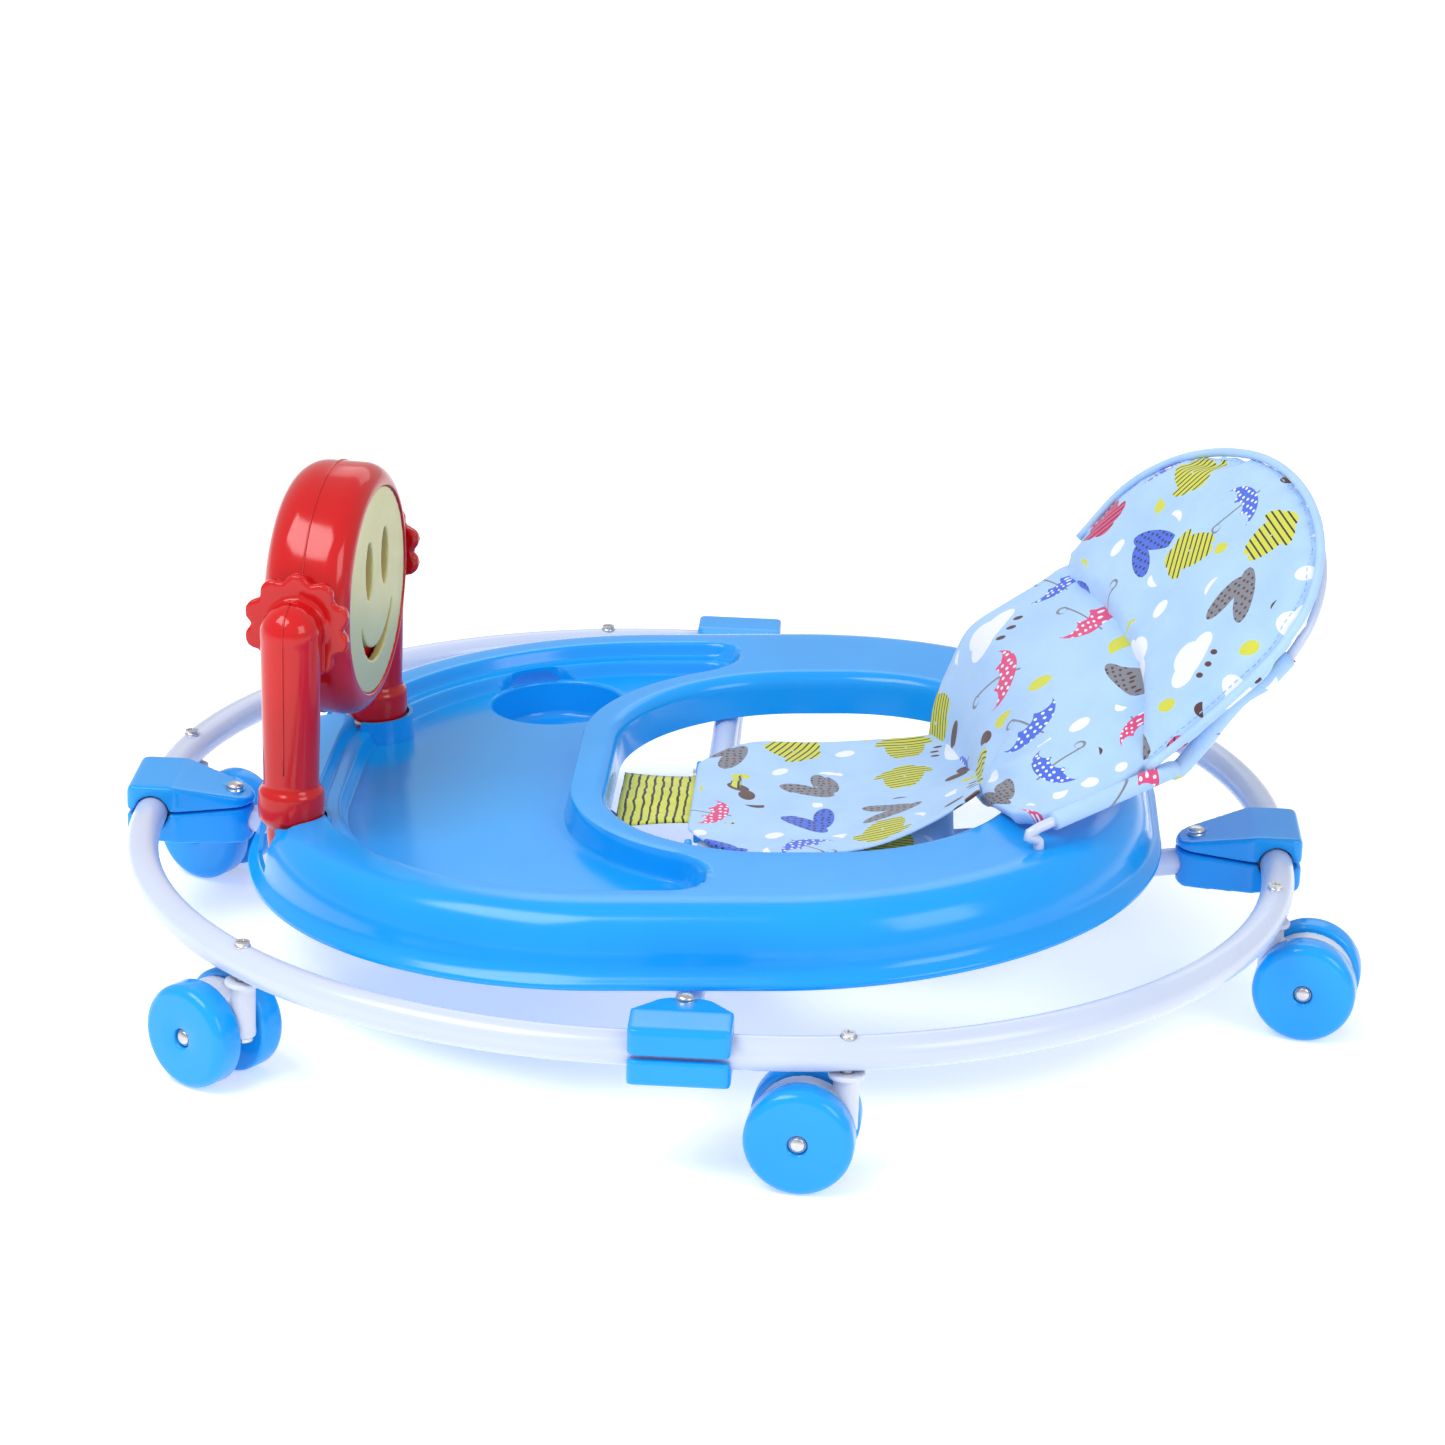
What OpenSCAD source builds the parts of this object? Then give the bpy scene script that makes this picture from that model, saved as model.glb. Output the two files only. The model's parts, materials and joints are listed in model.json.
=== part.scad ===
// Folding baby walker, drawn collapsed. Millimetres, +Z up, toy end at -Y, backrest at +Y.

/* [Base ring] */
// Ring half width, centre to tube centre
ring_half = 332; // [280:2:360]
// Straight length of tube under each clamp
ring_straight = 60; // [50:1:90]
// Ring tube diameter
ring_tube = 19; // [16:0.5:25]
// Ring tube wall
ring_wall = 1.2; // [0.8:0.1:2]
// Ring centre moved forwards of the origin
ring_forward = 16.8; // [0:0.1:30]

/* [Casters] */
// Angle from the right clamp to the first caster
caster_offset = 15; // [8:1:22]
// Wheel diameter
wheel_dia = 59; // [50:1:70]
// Width of one wheel disc
wheel_width = 18; // [14:1:22]
// Gap between the two discs of a caster
wheel_gap = 16; // [15:1:20]
// Ring axis to wheel axle, vertical
axle_drop = 44; // [42:1:60]
// Stem to wheel axle, horizontal
trail = 22; // [20:1:26]
// Stem pin diameter
stem_dia = 7; // [6:0.5:8]
// Wheel axle diameter
axle_dia = 6; // [5:0.5:8]

/* [Leg clamps] */
// Clamp width at the ring
clamp_width = 55; // [45:1:60]
// Clamp reach inwards from the tube centre
clamp_reach = 58; // [54:1:62]
// Clamp height at the ring
clamp_height = 33; // [31:1:38]

/* [Legs] */
// Leg tube diameter
leg_tube = 16; // [14:0.5:18]
// Knee pin distance inwards from the ring axis
knee_in = 266; // [255:1:270]
// Knee pin above the lower tube axis
knee_rise = 26; // [25:1:29]
// Upper leg pivot distance inwards from the ring axis
hanger_in = 107; // [100:1:112]
// Front upper leg pivot further inwards
hanger_front = 16; // [12:1:20]
// Side knee pin above the ring axis
knee_side = 4; // [-4:1:5]
// Front knee pin above the ring axis
knee_front = -8; // [-12:1:-6]
// Rear knee pin above the ring axis
knee_rear = -14; // [-16:1:-12]

/* [Tray] */
// Corner radius of the tray lip
tray_r = 220; // [190:1:224]
// Half straight length across
tray_sx = 36; // [20:1:38]
// Half straight length front to back
tray_sy = 47; // [30:1:48]
// Tray height from lip to deck
tray_h = 42; // [36:1:55]
// Plastic thickness
skin = 3; // [2:0.5:3.5]
// Rise of the tray towards the back
tray_tilt = 2.87; // [0:0.1:4]
// Seat opening half width
hole_half = 150; // [130:1:155]
// Seat opening front edge, forwards of the ring centre
hole_front = 59; // [50:1:65]
// Seat opening rear edge, behind the ring centre
hole_rear = 176; // [165:1:185]
// Depth of the play recess
recess_deep = 17; // [12:1:18]
// Cup recess diameter
cup_dia = 81; // [65:1:84]
// Cup recess depth below the play recess
cup_deep = 24; // [15:1:28]

/* [Toy] */
// Turn of the toy in its loose sockets
toy_turn = -8; // [-10:1:0]
// Post spacing from the toy's centre
post_half = 92; // [88:1:98]
// Post diameter at the top
post_dia = 35; // [30:1:38]
// Head centre above the ring axis
head_z = 138; // [130:1:160]
// Head diameter
head_dia = 148; // [120:1:152]
// Head thickness
head_thick = 54; // [40:1:60]

/* [Seat] */
// Seat pad width
seat_width = 190; // [150:2:200]
// Seat pad front edge, behind the ring centre
seat_front = 17.5; // [17:0.5:24]
// Seat pad length
seat_long = 118; // [100:1:125]
// Seat pad thickness
seat_thick = 11; // [8:1:12]
// Backrest oval half width
back_half = 120; // [90:1:125]
// Backrest oval half height
back_up = 88; // [70:1:95]
// Backrest lean from upright
back_lean = 40; // [20:1:45]
// Backrest turn
back_turn = 25; // [0:1:28]
// Backrest wire diameter
wire_dia = 6; // [5:0.5:7]

/* [Hidden] */
$fn = 48;
ring_z = wheel_dia / 2 + axle_drop;
corner_c = ring_straight / 2;
corner_r = ring_half - corner_c;
run = 0.05;
axle_half = wheel_gap / 2 + wheel_width - 5;
floor_z = tray_h - recess_deep;
band = 20;
hole_r = 105;
wall_foot = 16;
tray_y = -3.5;
cup_x = -148;
cup_y = -105;
toy_x = 1;
toy_y = -226;
foot_z = tray_h - 46;
collar_bore = 41;
back_y = 269.5;
back_z = 160;
blue = [0.11, 0.55, 0.92];
white = [0.9, 0.92, 0.97];
steel = [0.75, 0.76, 0.78];
red = [0.8, 0.06, 0.07];
yellow = [0.93, 0.88, 0.5];
fabric = [0.66, 0.78, 0.96];
headings = [-95, -126, 60, -80, -60, 80];

module frame() {
  translate([0, -ring_forward, ring_z]) children();
}

// A flat outline carried round a square with round corners: x is the corner radius.
module carry(cx, cy) {
  for (k = [0:3]) {
    a = 90 * k;
    sx = (k == 0 || k == 3) ? cx : -cx;
    sy = (k < 2) ? cy : -cy;
    half = (k % 2 == 0) ? cy : cx;
    far = (k % 2 == 0) ? cx : cy;
    translate([sx, sy, 0]) rotate([0, 0, a]) rotate_extrude(angle = 90) children();
    rotate([0, 0, a]) translate([far, half, 0]) rotate([90, 0, 0])
      linear_extrude(2 * half) children();
  }
}

module ring_solid(r) {
  carry(corner_c, corner_c) translate([corner_r, 0]) circle(r);
}

module base_ring() {
  color(white) frame() difference() {
    ring_solid(ring_tube / 2);
    ring_solid(ring_tube / 2 - ring_wall);
    at_casters() translate([0, 0, -ring_tube]) cylinder(d = stem_dia, h = 2 * ring_tube);
  }
}

// Distance from the centre to the tube along a direction.
function ring_at(a) = let(m = abs(a % 90), t = min(m, 90 - m), c = corner_c)
  (tan(t) * ring_half < c) ? ring_half / cos(t) :
  c * (cos(t) + sin(t)) + sqrt(corner_r * corner_r - c * c * pow(cos(t) - sin(t), 2));
function caster_angle(i) = caster_offset - 60 * i;

module at_caster(i) {
  a = caster_angle(i);
  rotate([0, 0, a]) translate([ring_at(a + 360), 0, 0]) rotate([0, 0, -a]) children();
}

module at_casters() {
  for (i = [0:5]) at_caster(i) children();
}

module stem_pins() {
  color(steel) frame() at_casters() {
    translate([0, 0, -axle_drop - 2]) cylinder(d = stem_dia, h = axle_drop + ring_tube / 2 + 2.5);
    translate([0, 0, -axle_drop - 2]) cylinder(d = stem_dia + 4, h = 2);
  }
}

module ring_screws() {
  color(steel) frame() at_casters() translate([0, 0, ring_tube / 2])
    difference() {
      cylinder(d = 8, h = 2.4);
      translate([0, 0, -1]) cylinder(d = stem_dia, h = 1.5);
      translate([-2.5, -0.5, 1.6]) cube([5, 1, 2]);
      translate([-0.5, -2.5, 1.6]) cube([1, 5, 2]);
    }
}

module turned(i) {
  frame() at_caster(i) rotate([0, 0, headings[i]]) children();
}

module fork(i) {
  top = -ring_tube / 2 - 1;
  hub = wheel_gap - 3;
  color(white) turned(i) difference() {
    union() {
      translate([0, 0, -axle_drop + 0.3]) cylinder(d = wheel_gap - 2, h = axle_drop + top - 0.3);
      translate([0, 0, top - 3]) cylinder(d = 20, h = 3);
      translate([0, -hub / 2 + 2, -axle_drop + 4]) cube([trail, hub - 4, 12]);
      translate([trail, 0, -axle_drop]) rotate([90, 0, 0]) cylinder(d = 15, h = hub, center = true);
      translate([trail, hub / 2, -axle_drop]) rotate([90, 0, 0]) linear_extrude(hub) difference() {
        circle(wheel_dia / 2 - 3);
        circle(wheel_dia / 2 - 6);
        translate([-50, -100]) square([100, 100.5]);
      }
    }
    translate([0, 0, -axle_drop - 5]) cylinder(d = stem_dia + 0.1, h = axle_drop + 10);
    translate([trail, 0, -axle_drop]) rotate([90, 0, 0]) cylinder(d = axle_dia, h = 40, center = true);
  }
}

module disc_outline() {
  w = wheel_width;
  r = wheel_dia / 2;
  polygon([[axle_dia / 2 + 0.05, 0], [r - 2, 0], [r, 2], [r, w - 6], [r - 1, w - 3.4],
    [r - 3.4, w - 1], [r - 7, w], [5.5, w], [5.5, w - 4], [axle_dia / 2 + 0.05, w - 4]]);
}

module wheels(i) {
  color(blue) turned(i) translate([trail, 0, -axle_drop]) {
    translate([0, -wheel_gap / 2, 0]) rotate([90, 0, 0]) rotate_extrude() disc_outline();
    translate([0, wheel_gap / 2, 0]) rotate([-90, 0, 0]) rotate_extrude() disc_outline();
  }
}

module axle(i) {
  color(steel) turned(i) translate([trail, 0, -axle_drop]) rotate([90, 0, 0]) {
    cylinder(d = axle_dia, h = 2 * axle_half + 2, center = true);
    for (s = [-1, 1]) translate([0, 0, s * (axle_half + 2)]) cylinder(d = 9, h = 2, center = true);
  }
}

// Leg frames: x runs inwards from the ring axis, y along the tube.
module leg_at(a) {
  frame() rotate([0, 0, a]) translate([ring_half, 0, 0]) mirror([1, 0, 0]) children();
}

module clamp_body() {
  w = clamp_width / 2;
  h = clamp_height / 2;
  intersection() {
    translate([0, w, 0]) rotate([90, 0, 0]) linear_extrude(2 * w) hull() {
      translate([-11, h - 4]) circle(4);
      translate([-11, 4 - h]) circle(4);
      translate([12, h - 4]) circle(4);
      translate([12, 4 - h]) circle(4);
      translate([clamp_reach - 5, 1]) circle(5);
      translate([clamp_reach - 5, -17]) circle(5);
    }
    translate([0, 0, -40]) linear_extrude(80) hull() {
      translate([-10, w - 5]) circle(5);
      translate([-10, 5 - w]) circle(5);
      translate([14, w - 6]) circle(6);
      translate([14, 6 - w]) circle(6);
      translate([clamp_reach - 17, 0]) circle(17);
    }
  }
}

module leg_bore(k, d, from, to) {
  a = atan2(k - knee_rise + 9, knee_in - 45);
  translate([45, 0, -9]) rotate([0, 90 - a, 0]) translate([0, 0, from - 45]) cylinder(d = d, h = to - from);
}

module clamp_cuts(k) {
  rotate([90, 0, 0]) cylinder(d = ring_tube + 1.6, h = 100, center = true);
  leg_bore(k, leg_tube, 38, 120);
  translate([46, 0, -40]) cylinder(d = 5, h = 80);
  translate([-30, -50, -2.5]) cube([28, 100, 5]);
}

module clamp_top(a, k) {
  color(blue) leg_at(a) difference() {
    intersection() {
      clamp_body();
      translate([-50, -50, 0.4]) cube([150, 100, 50]);
    }
    clamp_cuts(k);
    translate([46, 0, 7.5]) cylinder(d = 12, h = 20);
  }
}

module clamp_base(a, k) {
  color(blue) leg_at(a) difference() {
    intersection() {
      clamp_body();
      translate([-50, -50, -50.4]) cube([150, 100, 50]);
    }
    clamp_cuts(k);
  }
}

module lower_leg(a, k) {
  color(white) leg_at(a) difference() {
    leg_bore(k, leg_tube, 39, knee_in + 10);
    leg_bore(k, leg_tube - 2.4, 30, knee_in + 20);
    translate([46, 0, -40]) cylinder(d = 5, h = 80);
  }
}

module knee(a, k) {
  low = k - knee_rise;
  color(blue) leg_at(a) difference() {
    union() {
      translate([knee_in - 22, -14, low - 10]) cube([42, 28, 20]);
      for (s = [-1, 1]) translate([knee_in, s * 11.75, 0]) rotate([90, 0, 0])
        linear_extrude(4.5, center = true) {
          translate([0, k]) circle(10);
          translate([-10, low]) square([20, k - low]);
        }
    }
    leg_bore(k, leg_tube, 100, knee_in + 11);
    translate([knee_in, 0, k]) rotate([90, 0, 0]) cylinder(d = 6, h = 60, center = true);
  }
}

module pins(a, k) {
  color(steel) leg_at(a) {
    translate([46, 0, -20]) cylinder(d = 5, h = 28);
    translate([46, 0, 7.5]) cylinder(d1 = 11, d2 = 8, h = 2.6);
    translate([knee_in, 0, k]) rotate([90, 0, 0]) cylinder(d = 6, h = 28, center = true);
    for (s = [-1, 1]) translate([knee_in, s * 15, k]) rotate([90, 0, 0]) cylinder(d = 10, h = 2, center = true);
  }
}

function hanger_z(a) = (a == 90) ? knee_rear + 18 : (a == -90) ? knee_front + 8 : knee_side + 5;
function hanger_x(a) = (a == -90) ? hanger_in + hanger_front : hanger_in;

module upper_leg(a, k) {
  rise = hanger_z(a) - k;
  long = knee_in - hanger_x(a);
  t = atan2(rise, long);
  color(white) leg_at(a) translate([knee_in, 0, k]) rotate([0, -90 + t, 0]) difference() {
    union() {
      translate([0, 0, -9]) cylinder(d = leg_tube, h = long / cos(t) + 11);
      translate([0, 0, long / cos(t) + 1.9]) cylinder(d = leg_tube - 4, h = 1);
    }
    translate([0, 0, -20]) cylinder(d = leg_tube - 2.4, h = long / cos(t) + 20);
    rotate([90, 0, 0]) cylinder(d = 6.1, h = 60, center = true);
  }
}

module tray_place() {
  frame() rotate([tray_tilt, 0, 0]) children();
}

module lip_plan(r, dx = 0) {
  translate([0, tray_y]) {
    for (sx = [-1, 1]) for (sy = [-1, 1]) translate([sx * tray_sx, sy * tray_sy]) circle(r + dx);
    square([2 * (tray_sx + r + dx), 2 * tray_sy], center = true);
    square([2 * tray_sx, 2 * (tray_sy + r + dx)], center = true);
  }
}

module round_box(hx, y0, y1, r) {
  for (s = [-1, 1]) {
    translate([s * (hx - r), y0 + r]) circle(r);
    translate([s * (hx - r), y1 - r]) circle(r);
  }
  translate([-hx, y0 + r]) square([2 * hx, y1 - y0 - 2 * r]);
  translate([r - hx, y0]) square([2 * (hx - r), y1 - y0]);
}

module hole_plan(e) {
  round_box(hole_half + e, -hole_front - e, hole_rear + e, hole_r + e);
}

module recess_plan(e, shelf) {
  difference() {
    intersection() {
      lip_plan(tray_r - 42 - shelf, e);
      union() {
        translate([-300, -300]) square([600, 286]);
        for (s = [-1, 1]) translate([s * (hole_half + band + 22), -14]) circle(22 - shelf / 2 + e);
      }
    }
    hole_plan(band - e);
  }
}

module skirt_outline() {
  h = tray_h;
  r = tray_r;
  polygon([[r, 0], [r, 3], [r - 3.5, 6], [r - 6, 10], [r - 7, h - 26], [r - 8, h - 20],
    [r - 11, h - 12], [r - 16, h - 5.5], [r - 22, h - 1.5], [r - 30, h],
    [r - 30, h - skin], [r - 22.5, h - 1.5 - skin], [r - 18, h - 5.5 - skin], [r - 14, h - 13.5],
    [r - 11, h - 21], [r - 10, h - 27], [r - 9, 9], [r - 6.5, 4], [r - 4, 0]]);
}

module tray_shell() {
  h = tray_h;
  f = floor_z;
  mid = (h + f) / 2;
  color(blue) tray_place() difference() {
    union() {
      translate([0, tray_y, 0]) carry(tray_sx, tray_sy) skirt_outline();
      translate([0, 0, h - skin]) linear_extrude(skin) lip_plan(tray_r - 29);
      translate([0, 0, f - skin]) linear_extrude(recess_deep) recess_plan(skin, 0);
      translate([0, 0, wall_foot]) linear_extrude(h - wall_foot) hole_plan(skin);
      translate([cup_x, cup_y, f - cup_deep - skin]) cylinder(d = cup_dia + 2 * skin, h = cup_deep + skin);
      intersection() {
        translate([0, 0, 4]) linear_extrude(h - 5) lip_plan(tray_r - 10);
        for (s = [-1, 1]) turned_well(s) cylinder(d = collar_bore + 5, h = h);
      }
      for (s = [-1, 1]) translate([s * 150, 190, h - 14]) cylinder(d = 14, h = 12);
    }
    translate([0, 0, mid]) linear_extrude(h) recess_plan(0, 0);
    translate([0, 0, f]) linear_extrude(h) recess_plan(0, 12);
    translate([0, 0, -10]) linear_extrude(2 * h) hole_plan(0);
    translate([cup_x, cup_y, f - cup_deep]) cylinder(d = cup_dia, h = cup_deep + 1);
    translate([-16, -400, -20]) cube([32, 190, 34]);
    for (s = [-1, 1]) turned_well(s) {
      translate([0, 0, 10]) cylinder(d = 33, h = 60);
      translate([0, 0, 35]) cylinder(d = collar_bore, h = 60);
      translate([-16.5, -40, 10]) cube([33, 40, 60]);
    }
    for (s = [-1, 1]) translate([s * 150, 190, h - 20]) cylinder(d = wire_dia + 1, h = 40);
  }
}

module turned_well(s) {
  translate([toy_x, toy_y + 26 * sin(tray_tilt), 0]) rotate([0, 0, toy_turn])
    translate([s * post_half, 0, 0]) children();
}

module toy_place() {
  frame() translate([toy_x, toy_y, 0]) rotate([0, 0, toy_turn]) children();
}

module ruffle() {
  linear_extrude(7) difference() {
    union() {
      circle(27);
      for (k = [0:9]) rotate([0, 0, 36 * k]) translate([24, 0]) circle(7.5);
    }
    circle(4);
  }
}

module toy_post(s) {
  r = post_dia / 2;
  inner = head_dia / 2 + 1;
  color(red) toy_place() difference() {
    union() {
      translate([s * post_half, 0, foot_z + 6]) cylinder(r1 = 13, r2 = 15, h = 24);
      translate([s * post_half, 0, foot_z + 29]) rotate_extrude()
        polygon([[0, 0], [r - 1, 0], [r + 1.5, 3], [r + 2, 11], [r + 1.5, 19], [r - 1, 22], [0, 22]]);
      translate([s * post_half, 0, foot_z + 50]) cylinder(r1 = r - 1.5, r2 = r, h = head_z - foot_z - 50);
      translate([s * post_half, 0, head_z]) sphere(r + 0.3);
      translate([s * inner, 0, head_z]) rotate([0, s * 90, 0]) cylinder(r = r - 1, h = post_half - inner);
      translate([s * inner, 0, head_z]) rotate([0, s * 90, 0]) ruffle();
    }
    translate([0, 0, head_z]) rotate([0, 90, 0]) cylinder(d = 8, h = 2 * post_half, center = true);
  }
}

module toy_axle() {
  color(steel) toy_place() translate([0, 0, head_z]) rotate([0, 90, 0])
    cylinder(d = 8, h = 2 * post_half - 2, center = true);
}

module head_half(r, t, e) {
  hull() {
    translate([0, -t / 2]) square([r - e, t]);
    translate([r - e, t / 2 - e]) circle(e);
    translate([r - e, e - t / 2]) circle(e);
  }
}

module drum(r, t, e) {
  rotate([90, 0, 0]) rotate_extrude() intersection() {
    head_half(r, t, e);
    translate([0, -100]) square([200, 200]);
  }
}

module toy_head() {
  color(red) toy_place() translate([0, 0, head_z]) difference() {
    drum(head_dia / 2, head_thick, 16);
    drum(head_dia / 2 - 2.5, head_thick - 5, 14);
    translate([0, head_thick / 2 + 6, 0]) rotate([90, 0, 0]) cylinder(r = head_dia / 2 - 13, h = 20);
    rotate([0, 90, 0]) cylinder(d = 8.1, h = head_dia + 10, center = true);
  }
}

module toy_face() {
  y = head_thick / 2 - 1.5;
  color(yellow) toy_place() translate([0, y, head_z]) rotate([90, 0, 0]) difference() {
    cylinder(r = head_dia / 2 - 13, h = 6);
    for (s = [-1, 1]) translate([s * 17, 16, -1]) scale([0.42, 1, 1]) cylinder(r = 17, h = 20);
    translate([0, 0, -1]) linear_extrude(20) difference() {
      translate([0, -8]) circle(34);
      translate([0, 2]) circle(36);
      translate([-50, -14]) square([100, 60]);
    }
    translate([0, 0, 5]) cylinder(r = head_dia / 2 - 20, h = 3);
  }
}

function back_x() = [cos(back_turn), sin(back_turn), 0];
function back_v() = [-sin(back_turn) * sin(back_lean), cos(back_turn) * sin(back_lean), cos(back_lean)];
function back_n() = [sin(back_turn) * cos(back_lean), -cos(back_turn) * cos(back_lean), sin(back_lean)];
function back_point(u, v, n) = [0, back_y, back_z] + u * back_x() + v * back_v() + n * back_n();

function tray_point(x, y, z) = [x, y * cos(tray_tilt) - z * sin(tray_tilt),
  y * sin(tray_tilt) + z * cos(tray_tilt)];
function wire_arc(t) = back_point((back_half - 14) * cos(t), (back_up - 12) * sin(t), -14);
function wire_foot(s) = [tray_point(s * 150, 190, tray_h - 4), tray_point(s * 150, 190, tray_h + 12)];
function wire_path() = concat(wire_foot(1), [back_point(90, -84, -14)],
  [for (t = [-30:24:210]) wire_arc(t)], [back_point(-90, -84, -14)], [wire_foot(-1)[1], wire_foot(-1)[0]]);

module back_wire() {
  p = wire_path();
  color(white) frame() for (i = [0:len(p) - 2]) hull() {
    translate(p[i]) sphere(d = wire_dia, $fn = 16);
    translate(p[i + 1]) sphere(d = wire_dia, $fn = 16);
  }
}

module seat_plan(e) {
  round_box(seat_width / 2 + e, seat_front - e, seat_front + seat_long + e, 40);
}

module seat_pad() {
  color(fabric) tray_place() translate([0, 0, 1]) linear_extrude(seat_thick) seat_plan(0);
}

module front_flap() {
  color(fabric) tray_place() translate([-45, 3 - hole_front, 13.5]) cube([90, hole_front + seat_front - 4.5, 2.5]);
}

module back_frame() {
  frame() translate([0, back_y, back_z]) rotate([0, 0, back_turn]) rotate([-back_lean, 0, 0]) children();
}

module back_pad() {
  color(fabric) back_frame() translate([0, 8, 0]) rotate([90, 0, 0]) linear_extrude(15)
    scale([back_half / back_up, 1]) circle(back_up);
}

module back_wings() {
  color(fabric) frame() {
    hull() {
      translate([-70, 140, 22]) cube([140, 8, 1]);
      translate([-88, 158, 56]) cube([176, 8, 1]);
    }
    hull() {
      translate([-88, 158, 56]) cube([176, 8, 1]);
      translate([24, 212, 84]) rotate([0, 0, back_turn]) translate([-100, -6, 0]) cube([168, 8, 1]);
    }
  }
}

base_ring();
stem_pins();
ring_screws();
fork(0);  // fork_1
fork(1);  // fork_2
fork(2);  // fork_3
fork(3);  // fork_4
fork(4);  // fork_5
fork(5);  // fork_6
wheels(0);  // wheels_1
wheels(1);  // wheels_2
wheels(2);  // wheels_3
wheels(3);  // wheels_4
wheels(4);  // wheels_5
wheels(5);  // wheels_6
axle(0);  // axle_1
axle(1);  // axle_2
axle(2);  // axle_3
axle(3);  // axle_4
axle(4);  // axle_5
axle(5);  // axle_6
clamp_top(0, knee_side);  // clamp_top_right
clamp_top(90, knee_rear);  // clamp_top_rear
clamp_top(180, knee_side);  // clamp_top_left
clamp_top(-90, knee_front);  // clamp_top_front
clamp_base(0, knee_side);  // clamp_base_right
clamp_base(90, knee_rear);  // clamp_base_rear
clamp_base(180, knee_side);  // clamp_base_left
clamp_base(-90, knee_front);  // clamp_base_front
lower_leg(0, knee_side);  // lower_leg_right
lower_leg(90, knee_rear);  // lower_leg_rear
lower_leg(180, knee_side);  // lower_leg_left
lower_leg(-90, knee_front);  // lower_leg_front
knee(0, knee_side);  // knee_right
knee(90, knee_rear);
knee(180, knee_side);  // knee_left
knee(-90, knee_front);
pins(0, knee_side);  // pins_right
pins(90, knee_rear);  // pins_rear
pins(180, knee_side);  // pins_left
pins(-90, knee_front);  // pins_front
upper_leg(0, knee_side);  // upper_leg_right
upper_leg(90, knee_rear);  // upper_leg_rear
upper_leg(180, knee_side);  // upper_leg_left
upper_leg(-90, knee_front);  // upper_leg_front
tray_shell();
toy_post(1);  // toy_post_right
toy_post(-1);  // toy_post_left
toy_axle();
toy_head();
toy_face();
back_wire();
seat_pad();
front_flap();
back_pad();
back_wings();
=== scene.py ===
import json
import math
import bmesh
import bpy
import numpy as np
from mathutils import Matrix, Vector


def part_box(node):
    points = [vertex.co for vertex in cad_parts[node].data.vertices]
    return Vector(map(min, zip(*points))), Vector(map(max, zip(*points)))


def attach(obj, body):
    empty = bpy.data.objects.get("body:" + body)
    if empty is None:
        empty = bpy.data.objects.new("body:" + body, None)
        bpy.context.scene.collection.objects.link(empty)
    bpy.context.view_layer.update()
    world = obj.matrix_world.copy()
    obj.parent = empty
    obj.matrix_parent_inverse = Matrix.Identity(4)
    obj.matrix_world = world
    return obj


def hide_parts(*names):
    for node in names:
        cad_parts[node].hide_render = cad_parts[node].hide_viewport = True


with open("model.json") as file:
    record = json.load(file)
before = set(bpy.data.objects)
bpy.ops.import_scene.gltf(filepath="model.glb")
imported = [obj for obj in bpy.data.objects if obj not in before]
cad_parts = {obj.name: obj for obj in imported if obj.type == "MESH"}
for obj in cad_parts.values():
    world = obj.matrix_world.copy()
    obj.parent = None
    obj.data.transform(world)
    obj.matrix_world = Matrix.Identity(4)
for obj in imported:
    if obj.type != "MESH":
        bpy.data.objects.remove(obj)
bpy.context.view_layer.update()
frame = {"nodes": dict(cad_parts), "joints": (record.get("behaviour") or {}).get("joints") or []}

joints = {j["name"]: j for j in frame["joints"]}
sides = ["right", "rear", "left", "front"]


def middle(node):
    low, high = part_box(node)
    return (low + high) / 2


ringCentre = middle("base_ring")
collection = bpy.context.scene.collection


def linked(name, data):
    thing = bpy.data.objects.new(name, data)
    collection.objects.link(thing)
    return thing


# camera, light and floor
camera = {"lens": 107.16, "sensor": 36, "reach": 50, "place": (2.388, 0.098, 0.915), "heading": 92.265,
          "tilt": 70.391, "roll": 1.839}


def makeCamera():
    data = bpy.data.cameras.new("camera")
    data.lens = camera["lens"]
    data.sensor_width = camera["sensor"]
    data.clip_end = camera["reach"]
    eye = linked("camera", data)
    turn = (Matrix.Rotation(math.radians(camera["heading"]), 4, "Z")
            @ Matrix.Rotation(math.radians(camera["tilt"]), 4, "X")
            @ Matrix.Rotation(math.radians(camera["roll"]), 4, "Z"))
    eye.matrix_world = Matrix.Translation(ringCentre + Vector(camera["place"])) @ turn
    bpy.context.scene.camera = eye


studio = {"dome": 0.66, "key": 32, "fill": 16, "rim": 6, "floor": (0.93, 0.935, 0.94), "glow": 0.40,
          "floorHalf": 30, "floorRough": 0.9, "floorShine": 0.1}


def softBox(name, place, size, power):
    data = bpy.data.lights.new(name, "AREA")
    data.shape = "RECTANGLE"
    data.size, data.size_y = size
    data.energy = power
    box = linked(name, data)
    box.location = place
    box.rotation_euler = (-Vector(place)).to_track_quat("-Z", "Y").to_euler()


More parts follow.
